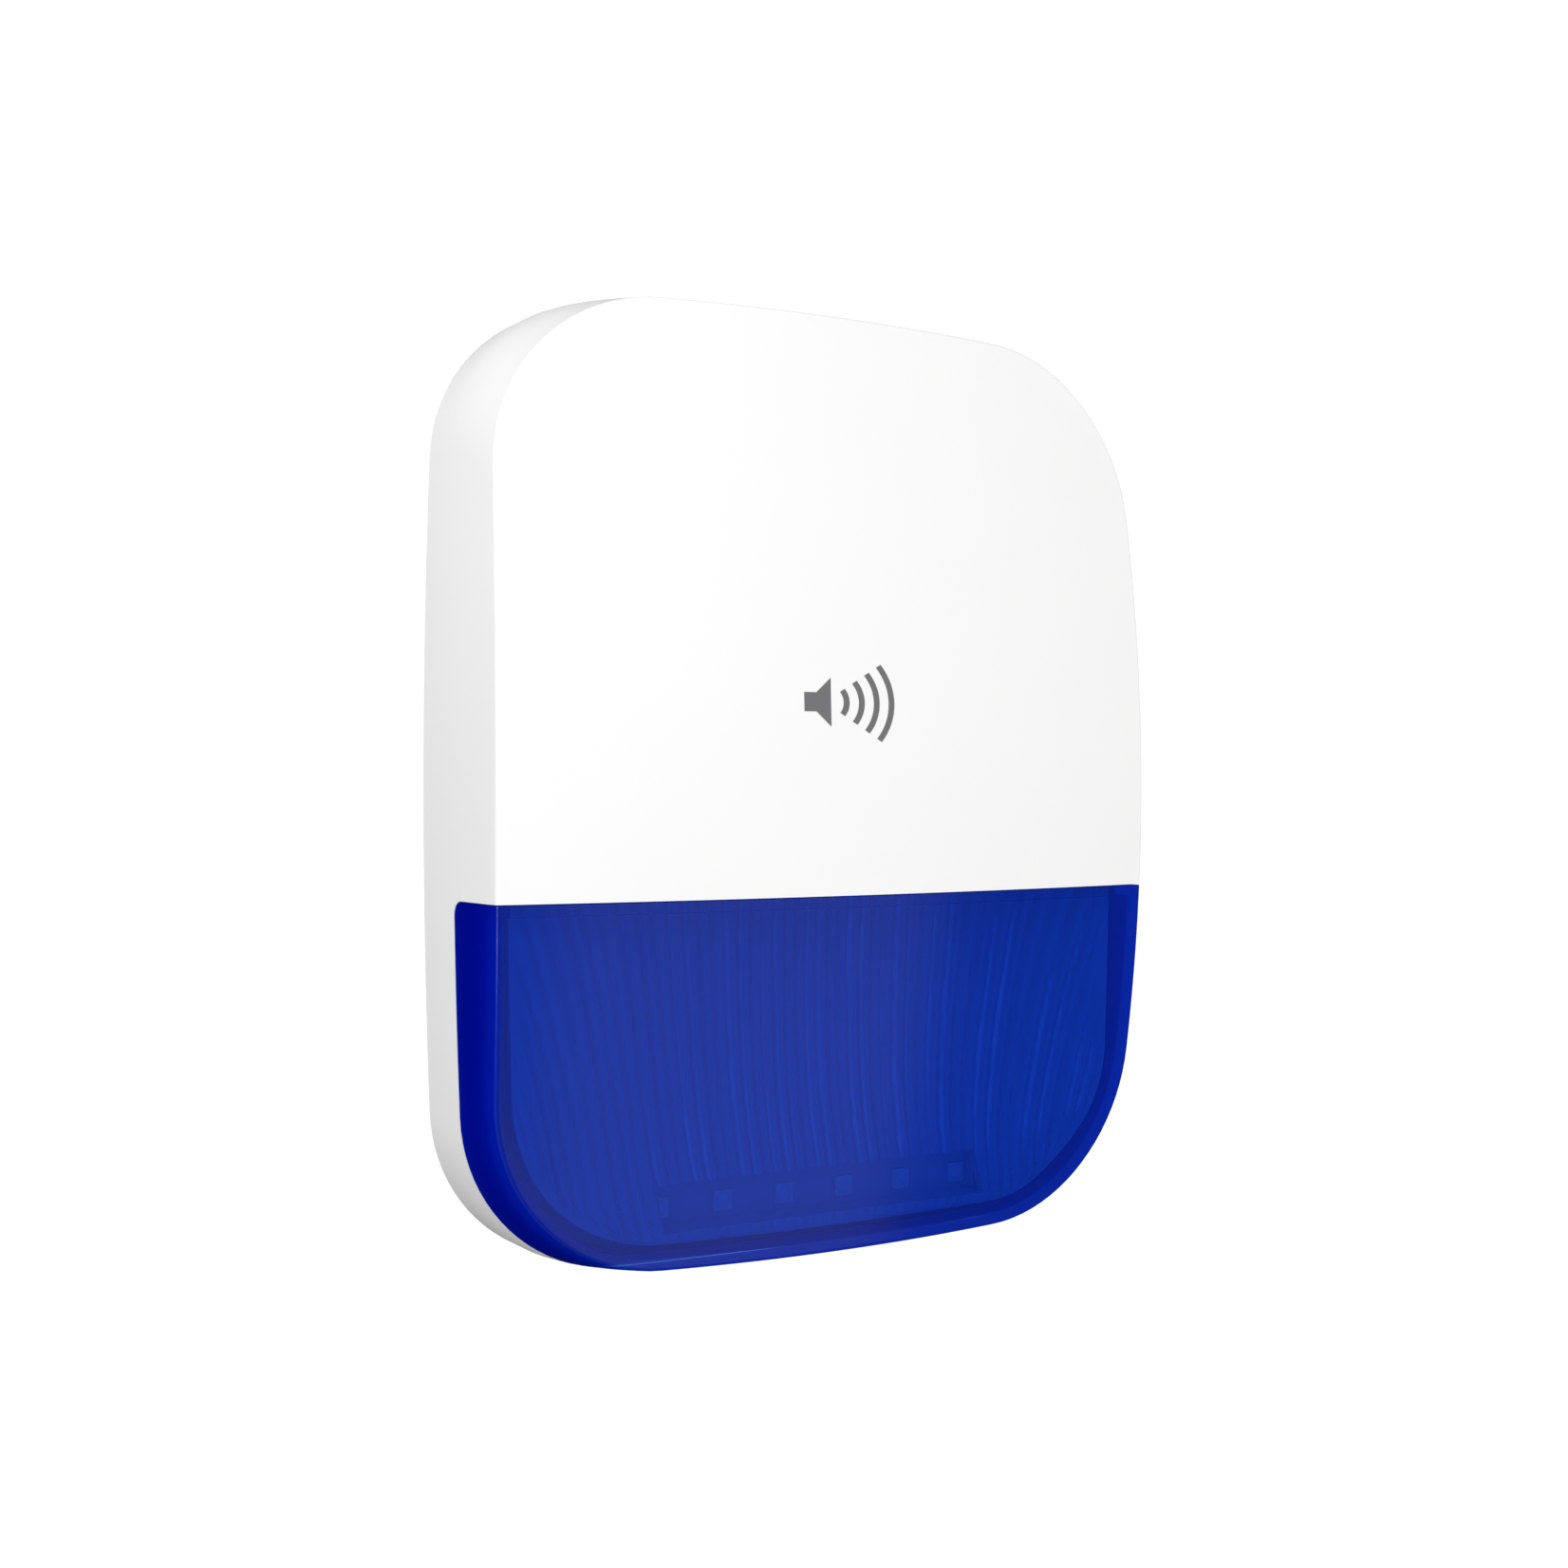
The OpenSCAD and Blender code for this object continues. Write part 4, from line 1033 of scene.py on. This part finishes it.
def make_processor():
    """Flat square chip with bent legs on four sides and a dot at its first leg."""
    body = cutter(boxes((
        (CHIP_X[0] + LEG_L, CHIP_X[1] - LEG_L), (BOARD_FRONT + 0.2, BOARD_FRONT + CHIP_H),
        (CHIP_Z[0] + LEG_L, CHIP_Z[1] - LEG_L),
    )))
    body.name = "processor_body"
    cut(body, cutter(posts([(CHIP_X[0] + 2.4, CHIP_Z[1] - 2.4)], 0.5, BOARD_FRONT + CHIP_H - 0.15, 40)))
    finish_piece(body, "processor", material=MATERIALS["chip_black"])
    legs = bmesh.new()
    mid_x, mid_z = sum(CHIP_X) / 2, sum(CHIP_Z) / 2
    # Each leg's foot, riser and top: range in depth above the board, and reach in from the chip's edge.
    leg = (((0, 0.18), (0.0, 0.7)), ((0.1, 0.75), (0.55, 0.75)), ((0.57, 0.75), (0.6, LEG_L + 0.1)))
    for i in range(LEG_COUNT):
        along = (i - (LEG_COUNT - 1) / 2) * LEG_PITCH
        across_x = (mid_x + along - LEG_W / 2, mid_x + along + LEG_W / 2)
        across_z = (mid_z + along - LEG_W / 2, mid_z + along + LEG_W / 2)
        for side, end in ((1, 0), (-1, 1)):
            for lift, reach in leg:
                depth = [BOARD_FRONT + d for d in lift]
                box_mesh(legs, across_x, depth, sorted(CHIP_Z[end] + side * r for r in reach))
                box_mesh(legs, sorted(CHIP_X[end] + side * r for r in reach), depth, across_z)
    new_piece("processor_legs", legs, body="unit", material=MATERIALS["can_metal"])


make_processor()
LED_Z, LED_PITCH, LED_COUNT, LED_W, LED_T = -104.5, 18.0, 6, 5.0, 0.9


def make_leds():
    """Square LED housings, each with a shallow dome."""
    bm = bmesh.new()
    for i in range(LED_COUNT):
        x = (i - (LED_COUNT - 1) / 2) * LED_PITCH
        box_mesh(
            bm, (x - LED_W / 2, x + LED_W / 2), (BOARD_FRONT_D, BOARD_FRONT_D + LED_T),
            (LED_Z - LED_W / 2, LED_Z + LED_W / 2),
        )
        lathe(bm, LED_DOME, place(x, BOARD_FRONT_D, LED_Z, FORWARD), 32)
    new_piece("led_domes", bm, "led_emitters", material=MATERIALS["led_yellow"])


make_leds()
TERMINAL_X, TERMINAL_D, TERMINAL_Z = (50, 58), 13.6, 43.5


def make_terminal_screws():
    """Slotted screws of the terminal block."""
    bm = bmesh.new()
    for x in TERMINAL_X:
        lathe(bm, TERMINAL_SCREW, place(x, TERMINAL_D, TERMINAL_Z, FORWARD), 28)
    obj = cutter(bm)
    obj.name = "terminal_screws"
    slot_z = (TERMINAL_Z - 0.2, TERMINAL_Z + 0.2)
    cut(obj, cutter(boxes(*[((x - 1.5, x + 1.5), (13, 14.1), slot_z) for x in TERMINAL_X])))
    finish_piece(obj, body="unit", material=MATERIALS["steel"])


make_terminal_screws()

# ---------------------------------------------------------------- everything that keeps its CAD shape
COMMON_BEVEL = 0.15
BEVEL = {
    "tamper_spring": 0, "siren_housing": 0,
    "wall_bracket": 0.35, "battery_cover": 0.3, "radio_module": 0.35,
}
REPLACED = {
    "front_cover", "blue_lens", "sound_mesh", "reflector_tray", "lens_gasket", "back_cover_screws",
    "reflector_screws", "board_screws", "siren_screws", "locking_screw", "siren_leads", "battery_leads",
    "batteries", "capacitors", "processor", "led_emitters",
}
for node in frame["nodes"]:
    if node not in REPLACED:
        piece = refined(node, BEVEL.get(node, COMMON_BEVEL))
        piece.data.materials.clear()
        piece.data.materials.append(MATERIALS[SLOT_OF[node]])
        if node == "tamper_spring":
            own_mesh(piece)

# ---------------------------------------------------------------- stage, light and camera
# From here on, lengths are in metres.
FLOOR_DROP = 0.6
ROOM_R, ROOM_BEND, ROOM_TOP = 3.0, 0.6, 3.0
CAMERA_TURN = math.radians(31.0)
CAMERA_DISTANCE = 0.539
CAMERA_AIM_X = 0.0060
FOCAL_PER_WIDTH = 2100 / 1652
SENSOR_WIDTH_MM = 36
LIGHT_FROM, LIGHT_BASE = (-0.08, -0.715, 0.24), 0.56
VIEW_X, VIEW_Y = math.sin(CAMERA_TURN), math.cos(CAMERA_TURN)


def white_stage():
    """Plain floor that curves up into a plain wall and ceiling.

    It is white behind the photograph's view and pale grey beside it.
    """
    bm = bmesh.new()
    floor_z = cad_lo.z - FLOOR_DROP
    profile = [(0, floor_z)]
    for i in range(13):
        a = math.pi / 2 * i / 12
        out, up = ROOM_BEND * (1 - math.sin(a)), ROOM_BEND * (1 - math.cos(a))
        profile.append((ROOM_R - out, floor_z + up))
    lathe(bm, profile + [(ROOM_R, ROOM_TOP), (0, ROOM_TOP)], Matrix.Identity(4), 96)
    mesh = bpy.data.meshes.new("stage_sweep")
    bm.to_mesh(mesh)
    bm.free()
    obj = bpy.data.objects.new("stage_sweep", mesh)
    bpy.context.scene.collection.objects.link(obj)
    obj.data.shade_smooth()
    material, nodes, links, shader = node_material("stage_white")
    nodes.remove(shader)
    glow = nodes.new("ShaderNodeEmission")
    place_on_stage = nodes.new("ShaderNodeNewGeometry")
    offset, unit, along = (nodes.new("ShaderNodeVectorMath") for _ in range(3))
    offset.operation, unit.operation, along.operation = "MULTIPLY_ADD", "NORMALIZE", "DOT_PRODUCT"
    offset.inputs[1].default_value = (1, 1, 0)
    offset.inputs[2].default_value = (CAMERA_DISTANCE * VIEW_X, CAMERA_DISTANCE * VIEW_Y, 0)
    along.inputs[1].default_value = (VIEW_X, VIEW_Y, 0)
    white = nodes.new("ShaderNodeMapRange")
    white.interpolation_type = "SMOOTHSTEP"
    socket_values(white, From_Min=0.72, From_Max=0.925, To_Min=0.885, To_Max=1.1)
    links.new(place_on_stage.outputs["Position"], offset.inputs[0])
    links.new(offset.outputs["Vector"], unit.inputs[0])
    links.new(unit.outputs["Vector"], along.inputs[0])
    links.new(along.outputs["Value"], white.inputs["Value"])
    links.new(white.outputs["Result"], glow.inputs["Strength"])
    links.new(glow.outputs["Emission"], nodes["Material Output"].inputs["Surface"])
    obj.data.materials.append(material)
    for kind in ("diffuse", "glossy", "transmission", "volume_scatter", "shadow"):
        setattr(obj, "visible_" + kind, False)


def studio_world():
    """Soft light from all round, strongest from the front, above and to the left."""
    world_light = bpy.data.worlds.new("studio")
    bpy.context.scene.world = world_light
    world_light.use_nodes = True
    nodes, links = world_light.node_tree.nodes, world_light.node_tree.links
    coord = nodes.new("ShaderNodeTexCoord")
    dot = nodes.new("ShaderNodeVectorMath")
    dot.operation = "DOT_PRODUCT"
    dot.inputs[1].default_value = LIGHT_FROM
    links.new(coord.outputs["Generated"], dot.inputs[0])
    lit = arithmetic(nodes, links, "ADD", dot.outputs["Value"], LIGHT_BASE)
    links.new(arithmetic(nodes, links, "MAXIMUM", lit, 0.0), nodes["Background"].inputs["Strength"])
    nodes["Background"].inputs["Color"].default_value = (1, 1, 1, 1)
    world_light.cycles_visibility.glossy = False


def soft_box(name, location, size, power, kind):
    """Lamp turned to the object that only lights it (diffuse) or is only reflected in it (glossy)."""
    light = bpy.data.lights.new(name, "AREA")
    light.shape = "RECTANGLE"
    light.size, light.size_y = size
    light.energy = power
    obj = bpy.data.objects.new(name, light)
    bpy.context.scene.collection.objects.link(obj)
    obj.location = location
    obj.rotation_mode = "QUATERNION"
    obj.rotation_quaternion = (-Vector(location)).to_track_quat("-Z", "Y")
    obj.visible_diffuse = kind == "diffuse"
    obj.visible_glossy = kind == "glossy"


white_stage()
studio_world()
soft_box("front_box", (0.60, -1.48, -0.3), (1.0, 2.6), 5.8, "glossy")
soft_box("left_box", (-1.5, -0.75, 0.2), (0.3, 1.2), 9, "glossy")
soft_box("back_lamp", (0.0, 1.6, 0.1), (1.2, 1.2), 17, "diffuse")
soft_box("side_lamp", (-0.45, -0.10, 0.19), (0.2, 0.2), 0.58, "diffuse")


def photo_camera():
    """Level camera at the photograph's viewing angle."""
    data = bpy.data.cameras.new("camera")
    data.sensor_width = SENSOR_WIDTH_MM
    data.lens = SENSOR_WIDTH_MM * FOCAL_PER_WIDTH
    camera = bpy.data.objects.new("camera", data)
    bpy.context.scene.collection.objects.link(camera)
    towards = Vector((VIEW_X, VIEW_Y, 0))
    camera.location = Vector((CAMERA_AIM_X, 0, 0)) - towards * CAMERA_DISTANCE
    camera.rotation_mode = "QUATERNION"
    camera.rotation_quaternion = towards.to_track_quat("-Z", "Y")
    data.clip_start, data.clip_end = 0.01, 50
    bpy.context.scene.camera = camera


photo_camera()
bpy.context.scene.view_settings.view_transform = "Standard"
